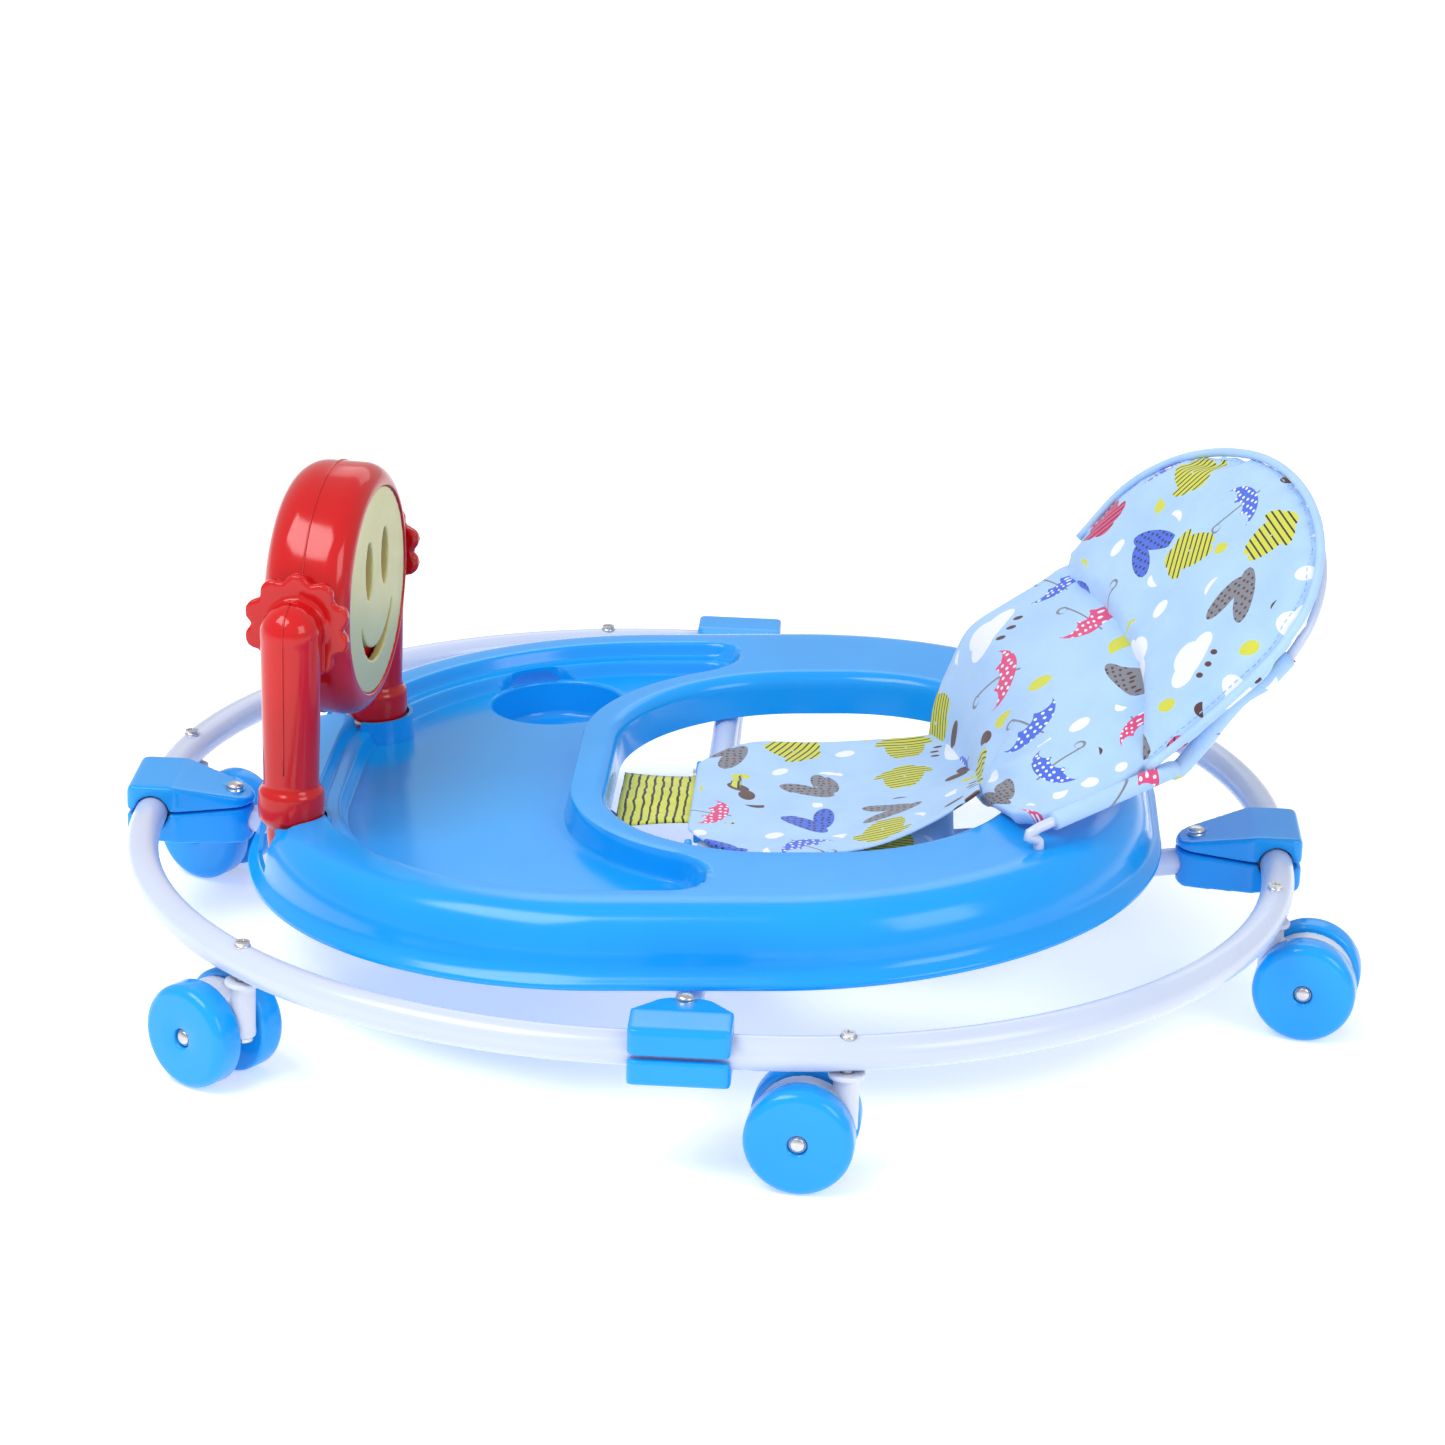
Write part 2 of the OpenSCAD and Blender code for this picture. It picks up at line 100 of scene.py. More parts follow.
def makeStudio():
    world = bpy.data.worlds.new("studio")
    world.use_nodes = True
    back = world.node_tree.nodes["Background"]
    back.inputs["Color"].default_value = (1, 1, 1, 1)
    back.inputs["Strength"].default_value = studio["dome"]
    bpy.context.scene.world = world
    softBox("keyBox", (0.9, -1.1, 2.0), (1.6, 1.0), studio["key"])
    softBox("fillBox", (1.6, 1.8, 1.5), (1.2, 1.2), studio["fill"])
    softBox("rimBox", (-2.0, 0.3, 1.6), (1.8, 1.0), studio["rim"])
    bpy.context.scene.view_settings.view_transform = "Standard"
    half = studio["floorHalf"]
    mesh = bpy.data.meshes.new("floor")
    corners = [(-half, -half, 0), (half, -half, 0), (half, half, 0), (-half, half, 0)]
    mesh.from_pydata(corners, [], [(0, 1, 2, 3)])
    floor = linked("floor", mesh)
    paint, tree, surface = newMaterial("paleFloor")
    feed(tree, surface, {"Base Color": (*studio["floor"], 1), "Roughness": studio["floorRough"],
                         "Specular IOR Level": studio["floorShine"], "Emission Color": (1, 1, 1, 1),
                         "Emission Strength": studio["glow"]})
    mesh.materials.append(paint)


# materials
def newMaterial(name):
    material = bpy.data.materials.new(name)
    material.use_nodes = True
    return material, material.node_tree, material.node_tree.nodes["Principled BSDF"]


# Each value is a number that is set or a socket that is linked
def feed(tree, node, values):
    for key, value in values.items():
        if isinstance(value, bpy.types.NodeSocket):
            tree.links.new(value, node.inputs[key])
        else:
            node.inputs[key].default_value = value


def addNode(tree, kind, values=None, **settings):
    node = tree.nodes.new(kind)
    for key, value in settings.items():
        setattr(node, key, value)
    feed(tree, node, values or {})
    return node


def objectCoords(tree):
    return addNode(tree, "ShaderNodeTexCoord").outputs["Object"]


def noiseSocket(tree, scale, detail=3, rough=0.5, vector=None):
    if vector is None:
        vector = objectCoords(tree)
    values = {"Scale": scale, "Detail": detail, "Roughness": rough, "Vector": vector}
    return addNode(tree, "ShaderNodeTexNoise", values).outputs["Fac"]


# A noise mostly stays between these, so colours and roughness run from one to the other
noiseLow, noiseHigh = 0.3, 0.7


def ramp(tree, fac, dark, light):
    node = addNode(tree, "ShaderNodeValToRGB", {"Fac": fac})
    for mark, place, colour in zip(node.color_ramp.elements, (noiseLow, noiseHigh), (dark, light)):
        mark.position = place
        mark.color = (*colour, 1)
    return node.outputs["Color"]


def mapRange(tree, value, low, high):
    values = {"From Min": noiseLow, "From Max": noiseHigh, "To Min": low, "To Max": high, "Value": value}
    return addNode(tree, "ShaderNodeMapRange", values).outputs["Result"]


def bumpInto(tree, surface, heights):
    normal = None
    for height, strength, distance in heights:
        node = addNode(tree, "ShaderNodeBump", {"Strength": strength, "Distance": distance, "Height": height})
        if normal:
            tree.links.new(normal, node.inputs["Normal"])
        normal = node.outputs["Normal"]
    tree.links.new(normal, surface.inputs["Normal"])


plastics = {
    "bluePlastic": dict(light=(0.006, 0.335, 0.88), dark=(0.004, 0.305, 0.83), rough=(0.15, 0.22), coat=0.12),
    "redPlastic": dict(light=(0.58, 0.006, 0.008), dark=(0.48, 0.003, 0.005), rough=(0.11, 0.17), coat=0.2),
    "yellowPlastic": dict(light=(0.60, 0.56, 0.22), dark=(0.54, 0.50, 0.18), rough=(0.28, 0.38), coat=0.15),
    "whitePlastic": dict(light=(0.66, 0.69, 0.78), dark=(0.60, 0.64, 0.74), rough=(0.25, 0.35), coat=0.2),
}


def mouldedPlastic(name):
    look = plastics[name]
    material, tree, surface = newMaterial(name)
    feed(tree, surface, {"Base Color": ramp(tree, noiseSocket(tree, 9, 2), look["dark"], look["light"]),
                         "Roughness": mapRange(tree, noiseSocket(tree, 60, 4, 0.6), *look["rough"]),
                         "IOR": 1.5, "Specular IOR Level": 0.34, "Coat Weight": look["coat"],
                         "Coat Roughness": 0.12})
    bumpInto(tree, surface, [(noiseSocket(tree, 14, 2), 0.05, 0.002),
                             (noiseSocket(tree, 420, 2), 0.03, 0.0001)])
    return material


def tubePaint():
    material, tree, surface = newMaterial("whitePaint")
    colour = ramp(tree, noiseSocket(tree, 6), (0.52, 0.59, 0.77), (0.57, 0.64, 0.82))
    feed(tree, surface, {"Base Color": colour, "Roughness": mapRange(tree, noiseSocket(tree, 12, 2), 0.22, 0.28),
                         "Coat Weight": 0.2, "Coat Roughness": 0.12})
    return material


def brightSteel():
    material, tree, surface = newMaterial("brightSteel")
    colour = ramp(tree, noiseSocket(tree, 90, 4), (0.50, 0.50, 0.51), (0.68, 0.68, 0.70))
    feed(tree, surface, {"Metallic": 1.0, "Base Color": colour,
                         "Roughness": mapRange(tree, noiseSocket(tree, 300), 0.20, 0.38)})
    bumpInto(tree, surface, [(noiseSocket(tree, 900), 0.1, 0.0001)])
    return material


# The print on the cover, drawn in the piece's own map, in millimetres
printLook = {"cell": 52.0, "dotCell": 27.0, "grow": 1.3}
inks = {"white": (0.80, 0.84, 0.95), "yellow": (0.60, 0.62, 0.05), "pink": (0.68, 0.06, 0.20),
        "blue": (0.05, 0.13, 0.68), "grey": (0.20, 0.21, 0.25), "brown": (0.09, 0.035, 0.03),
        "black": (0.02, 0.02, 0.025)}
groundInks = ((0.36, 0.56, 0.86), (0.41, 0.62, 0.90))
# ovals: centre across and up, half sizes, turn in degrees
motifs = {"mitten": [(-4, -6, 5, 11, 12), (5, -6, 4.6, 11, -12), (0, 5, 7, 7), (-9, 4, 3, 6, -50),
                     (9, 4, 3, 6, 50)],
          "leaf": [(-5, 0, 5.5, 15, 20), (6, 2, 5, 12, -24)],
          "cloud": [(-7, -1, 7, 6), (1, 3, 8, 7), (9, -1, 6, 5), (0, -3, 13, 4)],
          "drops": [(-5, -11, 1.3, 2.2), (1, -12, 1.3, 2.2), (7, -11, 1.3, 2.2)],
          "bow": [(-6, 0, 7, 4, 18), (6, 0, 7, 4, -18)]}


class Sums:
    def __init__(self, tree):
        self.tree = tree

    def op(self, kind, a, b=None, c=None):
        node = self.tree.nodes.new("ShaderNodeMath")
        node.operation = kind
        for slot, value in zip(node.inputs, (a, b, c)):
            if value is None:
                continue
            if isinstance(value, (int, float)):
                slot.default_value = value
            else:
                self.tree.links.new(value, slot)
        return node.outputs[0]

    def oval(self, x, y, cx, cy, rx, ry, turn=0.0):
        c, s = math.cos(math.radians(turn)), math.sin(math.radians(turn))
        dx = self.op("SUBTRACT", x, cx)
        dy = self.op("SUBTRACT", y, cy)
        u = self.op("ADD", self.op("MULTIPLY", dx, c / rx), self.op("MULTIPLY", dy, s / rx))
        v = self.op("SUBTRACT", self.op("MULTIPLY", dy, c / ry), self.op("MULTIPLY", dx, s / ry))
        d = self.op("ADD", self.op("MULTIPLY", u, u), self.op("MULTIPLY", v, v))
        return self.op("LESS_THAN", d, 1.0)

    def either(self, *masks):
        made = masks[0]
        for mask in masks[1:]:
            made = self.op("MAXIMUM", made, mask)
        return made

    def ovals(self, x, y, shapes):
        return self.either(*[self.oval(x, y, *shape) for shape in shapes])

    def outside(self, mask):
        return self.op("SUBTRACT", 1.0, mask)

    def both(self, a, b):
        return self.op("MULTIPLY", a, b)

    def between(self, value, low, high):
        return self.both(self.op("GREATER_THAN", value, low), self.op("LESS_THAN", value, high))


def inkOver(tree, under, mask, ink):
    over = (*ink, 1) if isinstance(ink, tuple) else ink
    return addNode(tree, "ShaderNodeMix", {0: mask, 6: under, 7: over}, data_type="RGBA").outputs[2]


def scattered(tree, sums, coords, cell, jitter, seedShift):
    shift = addNode(tree, "ShaderNodeVectorMath", {0: coords, 1: (seedShift, seedShift * 0.7, 0)},
                    operation="ADD")
    cells = addNode(tree, "ShaderNodeTexVoronoi",
                    {"Scale": 1 / cell, "Randomness": jitter, "Vector": shift.outputs[0]},
                    voronoi_dimensions="2D")
    centre = addNode(tree, "ShaderNodeVectorMath", {0: shift.outputs[0], 1: cells.outputs["Position"]},
                     operation="SUBTRACT")
    chance = addNode(tree, "ShaderNodeSeparateColor", {0: cells.outputs["Color"]})
    angle = sums.op("MULTIPLY", chance.outputs[1], 6.283)
    local = addNode(tree, "ShaderNodeVectorRotate", {"Vector": centre.outputs[0], "Angle": angle},
                    rotation_type="Z_AXIS")
    parts = addNode(tree, "ShaderNodeSeparateXYZ", {0: local.outputs[0]})
    x = sums.op("DIVIDE", parts.outputs[0], printLook["grow"])
    y = sums.op("DIVIDE", parts.outputs[1], printLook["grow"])
    return x, y, chance.outputs[0]


# The piece's own map, in millimetres
def coverCoords(tree):
    uv = addNode(tree, "ShaderNodeUVMap", uv_map="cover")
    scaled = addNode(tree, "ShaderNodeVectorMath", {0: uv.outputs[0], "Scale": 1000}, operation="SCALE")
    return scaled.outputs[0]


def stripesOf(sums, along, rate):
    return sums.op("GREATER_THAN", sums.op("SINE", sums.op("MULTIPLY", along, rate)), 0.62)


def printedFabric():
    material, tree, surface = newMaterial("printedFabric")
    sums = Sums(tree)
    coords = coverCoords(tree)
    ground = ramp(tree, noiseSocket(tree, 0.03, 3, 0.5, coords), *groundInks)
    layers = [ground]

    def stamp(mask, low, high, ink):
        mask = sums.both(mask, sums.between(pick, low, high))
        layers.append(inkOver(tree, layers[-1], mask, inks[ink]))

    # small dots
    x, y, pick = scattered(tree, sums, coords, printLook["dotCell"], 0.75, 3.1)
    dot = sums.oval(x, y, 0, 0, 3.4, 4.8)
    for low, high, ink in ((0.0, 0.28, "white"), (0.28, 0.42, "brown"), (0.42, 0.54, "yellow")):
        stamp(dot, low, high, ink)
    # larger motifs, each on a clear patch of ground
    x, y, pick = scattered(tree, sums, coords, printLook["cell"], 0.45, 11.7)
    layers.append(inkOver(tree, layers[-1], sums.oval(x, y, 0, 0, 19, 19), ground))
    pips = addNode(tree, "ShaderNodeTexVoronoi", {"Scale": 1 / 4.2, "Randomness": 0.35, "Vector": coords},
                   voronoi_dimensions="2D")
    pip = sums.op("LESS_THAN", pips.outputs["Distance"], 0.24)
    # a striped mitten
    mitten = sums.ovals(x, y, motifs["mitten"])
    for low, high, ink in ((0.0, 0.20, "yellow"), (0.20, 0.32, "pink")):
        stamp(mitten, low, high, ink)
        stamp(sums.both(mitten, stripesOf(sums, y, 2.1)), low, high, "black")
    # an umbrella
    dome = sums.both(sums.oval(x, y, 0, -2, 15, 13), sums.op("GREATER_THAN", y, 0.0))
    for k in (-10, 0, 10):
        dome = sums.both(dome, sums.outside(sums.oval(x, y, k, -0.6, 4.6, 3.4)))
    stick = sums.both(sums.between(x, -0.5, 0.5), sums.between(y, -14.0, 13.0))
    hook = sums.both(sums.oval(x, y, 2.2, -13, 2.6, 2.6), sums.outside(sums.oval(x, y, 2.2, -12.4, 1.7, 1.9)))
    for low, high, ink in ((0.32, 0.44, "pink"), (0.44, 0.56, "blue")):
        stamp(sums.either(stick, hook), low, high, "grey")
        stamp(dome, low, high, ink)
        stamp(sums.both(dome, pip), low, high, "white")
    # a spotted leaf
    leaf = sums.ovals(x, y, motifs["leaf"])
    for low, high, ink, spot in ((0.56, 0.70, "grey", "brown"), (0.70, 0.80, "blue", "black")):
        stamp(leaf, low, high, ink)
        stamp(sums.both(leaf, pip), low, high, spot)
    # a cloud with rain, and a bow
    for motif, low, high, ink in (("cloud", 0.80, 0.92, "white"), ("drops", 0.80, 0.92, "brown"),
                                  ("bow", 0.92, 1.0, "brown")):
        stamp(sums.ovals(x, y, motifs[motif]), low, high, ink)
    tree.links.new(layers[-1], surface.inputs["Base Color"])
    finishFabric(tree, surface, coords)
    return material


def finishFabric(tree, surface, coords):
    threads = []
    for direction in ("X", "Y"):
        values = {"Scale": 0.62, "Distortion": 0.6, "Detail": 1, "Vector": coords}
        threads.append(addNode(tree, "ShaderNodeTexWave", values, bands_direction=direction).outputs["Fac"])
    weave = Sums(tree).op("MAXIMUM", *threads)
    crumple = noiseSocket(tree, 0.055, 4, 0.55, coords)
    feed(tree, surface, {"Roughness": 0.72, "Sheen Weight": 0.25, "Sheen Roughness": 0.5,
                         "Specular IOR Level": 0.35})
    bumpInto(tree, surface, [(crumple, 0.35, 0.003), (weave, 0.25, 0.00025)])


def stripedFabric():
    material, tree, surface = newMaterial("stripedFabric")
    sums = Sums(tree)
    coords = coverCoords(tree)
    parts = addNode(tree, "ShaderNodeSeparateXYZ", {0: coords})
    wobble = noiseSocket(tree, 0.08, 2, 0.5, coords)
    along = sums.op("ADD", parts.outputs[1], sums.op("MULTIPLY", wobble, 4.0))
    ground = ramp(tree, wobble, (0.55, 0.58, 0.05), (0.66, 0.68, 0.09))
    stripes = stripesOf(sums, along, 1.25)
    tree.links.new(inkOver(tree, ground, stripes, inks["black"]), surface.inputs["Base Color"])
    finishFabric(tree, surface, coords)
    return material


def pipingFabric():
    material, tree, surface = newMaterial("pipingFabric")
    wave = addNode(tree, "ShaderNodeTexWave", {"Scale": 500, "Vector": objectCoords(tree)},
                   bands_direction="DIAGONAL")
    feed(tree, surface, {"Base Color": ramp(tree, noiseSocket(tree, 40), *groundInks), "Roughness": 0.75,
                         "Sheen Weight": 0.2})
    bumpInto(tree, surface, [(wave.outputs["Fac"], 0.3, 0.0002)])
    return material


# mesh helpers
def dress(thing, material, body, nodes=()):
    mesh = thing.data
    mesh.materials.clear()
    mesh.materials.append(material)
    mesh.polygons.foreach_set("use_smooth", [True] * len(mesh.polygons))
    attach(thing, body)
    if nodes:
        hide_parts(*nodes)
    return thing


def makeObject(name, mesh, material, body, nodes=()):
    return dress(linked(name, mesh), material, body, nodes)


def meshFrom(name, points, faces):
    mesh = bpy.data.meshes.new(name)
    mesh.from_pydata([tuple(p) for p in points], [], faces)
    mesh.validate()
    return mesh


def tidyMesh(mesh, gap=1e-6):
    shape = bmesh.new()
    shape.from_mesh(mesh)
    bmesh.ops.remove_doubles(shape, verts=shape.verts, dist=gap)
    bmesh.ops.recalc_face_normals(shape, faces=shape.faces)
    shape.to_mesh(mesh)
    shape.free()


def baked(thing):
    bpy.context.view_layer.update()
    graph = bpy.context.evaluated_depsgraph_get()
    mesh = bpy.data.meshes.new_from_object(thing.evaluated_get(graph))
    thing.modifiers.clear()
    old = thing.data
    thing.data = mesh
    mesh.name = thing.name
    bpy.data.meshes.remove(old)
    return thing


def evenOut(thing, voxel):
    remesh = thing.modifiers.new("even", "REMESH")
    remesh.mode = "VOXEL"
    remesh.voxel_size = voxel


def addFiner(thing):
    finer = thing.modifiers.new("finer", "SUBSURF")
    finer.levels = finer.render_levels = 1


def sheetFaces(nu, nv):
    row = nu + 1
    return [(j * row + i, j * row + i + 1, (j + 1) * row + i + 1, (j + 1) * row + i)
            for j in range(nv) for i in range(nu)]


def mapSheet(mesh, flat):
    layer = mesh.uv_layers.new(name="cover")
    for loop in mesh.loops:
        layer.data[loop.index].uv = flat[loop.vertex_index]


def addWall(thing, thick, offset):
    wall = thing.modifiers.new("cloth", "SOLIDIFY")
    wall.thickness = thick
    wall.offset = offset


def lathe(name, outline, place, turn, steps=64):
    points, faces = [], []
    count = len(outline)
    for k in range(steps):
        angle = 2 * math.pi * k / steps
        for radius, height in outline:
            local = Vector((radius * math.cos(angle), radius * math.sin(angle), height))
            points.append(place + turn @ local)
    for k in range(steps):
        a, b = k * count, ((k + 1) % steps) * count
        for i in range(count - 1):
            faces.append((a + i, b + i, b + i + 1, a + i + 1))
    mesh = meshFrom(name, points, faces)
    tidyMesh(mesh, 1e-5)
    return mesh


def smoothed(points, perSpan=6, closed=False):
    points = [Vector(p) for p in points]
    count = len(points)
    made = []
    spans = count if closed else count - 1
    for i in range(spans):
        p1, p2 = points[i], points[(i + 1) % count]
        p0 = points[(i - 1) % count] if closed or i > 0 else p1 * 2 - p2
        p3 = points[(i + 2) % count] if closed or i + 2 < count else p2 * 2 - p1
        for k in range(perSpan):
            t = k / perSpan
            made.append(0.5 * ((2 * p1) + (p2 - p0) * t + (2 * p0 - 5 * p1 + 4 * p2 - p3) * t ** 2
                               + (3 * p1 - p0 - 3 * p2 + p3) * t ** 3))
    if not closed:
        made.append(points[-1])
    return made


def tube(name, path, radius, around=12, closed=False):
    path = [Vector(p) for p in path]
    count = len(path)
    points, faces = [], []
    side = None
    for i, p in enumerate(path):
        ahead = path[(i + 1) % count] if closed or i + 1 < count else path[i]
        behind = path[i - 1] if closed or i > 0 else path[i]
        along = (ahead - behind).normalized()
        if side is None:
            side = along.orthogonal().normalized()
        side = (side - along * side.dot(along)).normalized()
        up = along.cross(side)
        for k in range(around):
            a = 2 * math.pi * k / around
            points.append(p + radius * (math.cos(a) * side + math.sin(a) * up))
    for i in range(count if closed else count - 1):
        a, b = i * around, ((i + 1) % count) * around
        for k in range(around):
            faces.append((a + k, a + (k + 1) % around, b + (k + 1) % around, b + k))
    if not closed:
        faces.append(tuple(range(around))[::-1])
        faces.append(tuple((count - 1) * around + k for k in range(around)))
    mesh = meshFrom(name, points, faces)
    tidyMesh(mesh)
    return mesh


clampSlot = {"reach": 0.0030, "close": 0.45, "past": 0.001}


# The slot in a clamp's outer face, drawn in to the narrow line that is left once the screws are tight
def closeSlot(mesh, side):
    hinge = Vector(joints[f"clamp_hinge_{side}"]["pos_m"])
    out = Vector((hinge.x - ringCentre.x, hinge.y - ringCentre.y, 0)).normalized()
    for v in mesh.vertices:
        away = v.co - hinge
        if abs(away.z) < clampSlot["reach"] and away.dot(out) > clampSlot["past"]:
            v.co.z = hinge.z + away.z * clampSlot["close"]


def softened(node, name, voxel, rounds, material, body):
    mesh = frame["nodes"][node].data.copy()
    tidyMesh(mesh, 1e-6)
    if node.startswith("clamp"):
        closeSlot(mesh, node.split("_")[-1])
    thing = linked(name, mesh)
    evenOut(thing, voxel)
    relax = thing.modifiers.new("relax", "SMOOTH")
    relax.factor = 0.5
    relax.iterations = rounds
    baked(thing)
    return dress(thing, material, body, [node])


# tray
tray = {"corner": 0.220, "straightX": 0.036, "straightY": 0.047, "shift": -0.0035, "height": 0.042,
        "tilt": 2.87,
        "holeHalf": 0.150, "holeFront": -0.059, "holeRear": 0.176, "holeCorner": 0.105, "wallFoot": 0.016,
        "rimRound": 0.008, "band": 0.020, "recessIn": 0.042, "shelf": 0.012, "shelfDeep": 0.0085,
        "recessDeep": 0.017, "wallRun": 0.0055, "hornEnd": 0.008, "hornRound": 0.022,
        "cup": (-0.148, -0.105), "cupRadius": 0.0405, "cupDeep": 0.024, "cupRim": 0.0025, "skin": 0.0026,
        "rays": 480}
trayFrame = Matrix.Translation(ringCentre) @ Matrix.Rotation(math.radians(tray["tilt"]), 4, "X")
skirt = [(-0.030, 0.0420), (-0.026, 0.0417), (-0.022, 0.0408), (-0.0185, 0.0390), (-0.0155, 0.0364),
         (-0.013, 0.0332), (-0.011, 0.0298), (-0.0094, 0.0260), (-0.0082, 0.0222), (-0.0075, 0.0186),
         (-0.0071, 0.0155), (-0.0067, 0.0125), (-0.0060, 0.0098), (-0.0047, 0.0076), (-0.0030, 0.0058),
         (-0.0015, 0.0045), (-0.0005, 0.0035), (0.0, 0.0026), (0.0, 0.0010), (-0.0004, 0.0003), (-0.0012, 0.0)]


def roundBox(x, y, cy, hx, hy, r):
    qx, qy = np.abs(x) - (hx - r), np.abs(y - cy) - (hy - r)
    return np.hypot(np.maximum(qx, 0), np.maximum(qy, 0)) + np.minimum(np.maximum(qx, qy), 0) - r


def lipGap(x, y):
    r = tray["corner"]
    return roundBox(x, y, tray["shift"], tray["straightX"] + r, tray["straightY"] + r, r)


def holeGap(x, y):
    half = (tray["holeRear"] - tray["holeFront"]) / 2
    return roundBox(x, y, tray["holeFront"] + half, tray["holeHalf"], half, tray["holeCorner"])


def roundMeet(r, *gaps):
    most = np.maximum.reduce(gaps)
    corner = np.sqrt(sum(np.maximum(g + r, 0) ** 2 for g in gaps))
    return np.minimum(most, -r) + corner


def easeIn(gap, width):
    t = np.clip(-gap / width, 0, 1)
    return t * t * t * (t * (6 * t - 15) + 10)


def deckHeight(x, y):
    lip, hole = lipGap(x, y), holeGap(x, y)
    outer, inner, end = lip + tray["recessIn"], tray["band"] - hole, y - tray["hornEnd"]
    r = tray["hornRound"]
    upper = roundMeet(r, outer, inner, end)
    lower = roundMeet(r - tray["shelf"] / 2, outer + tray["shelf"], inner, end + tray["shelf"] / 2)
    z = tray["height"] - tray["shelfDeep"] * easeIn(upper, tray["wallRun"])
    z = z - (tray["recessDeep"] - tray["shelfDeep"]) * easeIn(lower, tray["wallRun"])
    edge = np.clip(tray["rimRound"] - hole, 0, tray["rimRound"])
    return z - (tray["rimRound"] - np.sqrt(tray["rimRound"] ** 2 - edge ** 2))


def rayRadii(gap, target, angles, centre):
    low, high = np.zeros(len(angles)), np.full(len(angles), 0.45)
    for _ in range(42):
        mid = (low + high) / 2
        out = gap(centre[0] + mid * np.cos(angles), centre[1] + mid * np.sin(angles)) > target
        high = np.where(out, mid, high)
        low = np.where(out, low, mid)
    return (low + high) / 2


def makeTray(material):
    n = tray["rays"]
    centre = (0.0, (tray["holeRear"] + tray["holeFront"]) / 2)
    angles = np.linspace(0, 2 * math.pi, n, endpoint=False)
    rim, band, run = tray["rimRound"], tray["band"], tray["wallRun"]
    holeSteps = [rim * (1 - math.cos(t)) for t in np.linspace(0, math.pi / 2, 7)][1:]
    holeSteps += [0.5 * (rim + band), band - 0.0005] + [band + run * t for t in np.linspace(0.1, 1, 8)]
    floorIn = tray["recessIn"] + tray["shelf"] + run
    lipSteps = [-(tray["recessIn"] + tray["shelf"] + run * t) for t in np.linspace(1, 0, 8)]
    lipSteps += [-(tray["recessIn"] + 0.5 * (tray["shelf"] + run))]
    lipSteps += [-(tray["recessIn"] + run * t) for t in np.linspace(1, 0, 8)] + [-0.036]
    holeR = [rayRadii(holeGap, d, angles, centre) for d in holeSteps]
    lipR = [rayRadii(lipGap, d, angles, centre) for d in lipSteps]
    spread = [holeR[-1] + (lipR[0] - holeR[-1]) * t for t in np.linspace(0, 1, 18)[1:-1]]
    rows = np.sort(np.array(holeR + spread + lipR), axis=0)
    edgeR = rayRadii(holeGap, 0.0, angles, centre)
    cos, sin = np.cos(angles), np.sin(angles)
    points = []
    for z in np.linspace(tray["wallFoot"], tray["height"] - rim, 6):
        points.append(np.c_[centre[0] + edgeR * cos, centre[1] + edgeR * sin, np.full(n, z)])
    for r in rows:
        x, y = centre[0] + r * cos, centre[1] + r * sin
        points.append(np.c_[x, y, deckHeight(x, y)])
    for out, z in skirt:
        r = rayRadii(lipGap, out, angles, centre)
        points.append(np.c_[centre[0] + r * cos, centre[1] + r * sin, np.full(n, z)])
    grid = np.concatenate(points)
    rowsCount = len(points)
    faces = []
    for j in range(rowsCount - 1):
        for i in range(n):
            a, b = j * n + i, j * n + (i + 1) % n
            faces.append((a, b, b + n, a + n))
    mesh = meshFrom("trayShell", grid, faces)
    thing = linked("trayShell", mesh)
    addWall(thing, tray["skin"], 1 if facesDown(mesh) else -1)
    baked(thing)
    shapeTray(thing)
    thing.data.transform(trayFrame)
    tidyMesh(thing.data)
    dress(thing, material, "tray", ["tray_shell"])
    thing.data.set_sharp_from_angle(angle=math.radians(50))


def facesDown(mesh):
    ups = [p.normal.z * p.area for p in mesh.polygons]
    return sum(ups) < 0


def roundCutter(name, outline, place, steps=96):
    return linked(name, lathe(name, outline, place, Matrix.Identity(3), steps))


def cupShapes():
    r, skin, rim = tray["cupRadius"], tray["skin"], tray["cupRim"]
    deck = tray["height"] - tray["recessDeep"]
    low = deck - tray["cupDeep"]
    body = [(0, low - skin), (r + skin, low - skin), (r + skin, deck - 0.001), (0, deck - 0.001)]
    hollow = [(0, low), (r - 0.0070, low), (r - 0.0045, low + 0.0004), (r - 0.0022, low + 0.0022),
              (r - 0.0012, low + 0.0050)]
    hollow += [(r + rim - rim * math.cos(t), deck - rim + rim * math.sin(t))
               for t in np.linspace(0, math.pi / 2, 7)]
    hollow += [(r + rim, deck + 0.0002), (r + rim, deck + 0.05), (0, deck + 0.05)]
    place = Vector((*tray["cup"], 0))
    return roundCutter("cupBody", body, place), roundCutter("cupHollow", hollow, place)


toy = {"turn": -8.0, "posts": 0.092, "well": 0.0165, "wellFloor": 0.010, "footDrop": 0.112, "ledge": 0.035,
       "collarRoom": 0.0205, "wellWall": 0.0230, "headRadius": 0.074, "headHalf": 0.027}
toyMiddle = middle("toy_head")
toyTurn = Matrix.Rotation(math.radians(toy["turn"]), 4, "Z")
toyFrame = Matrix.Translation(toyMiddle) @ toyTurn


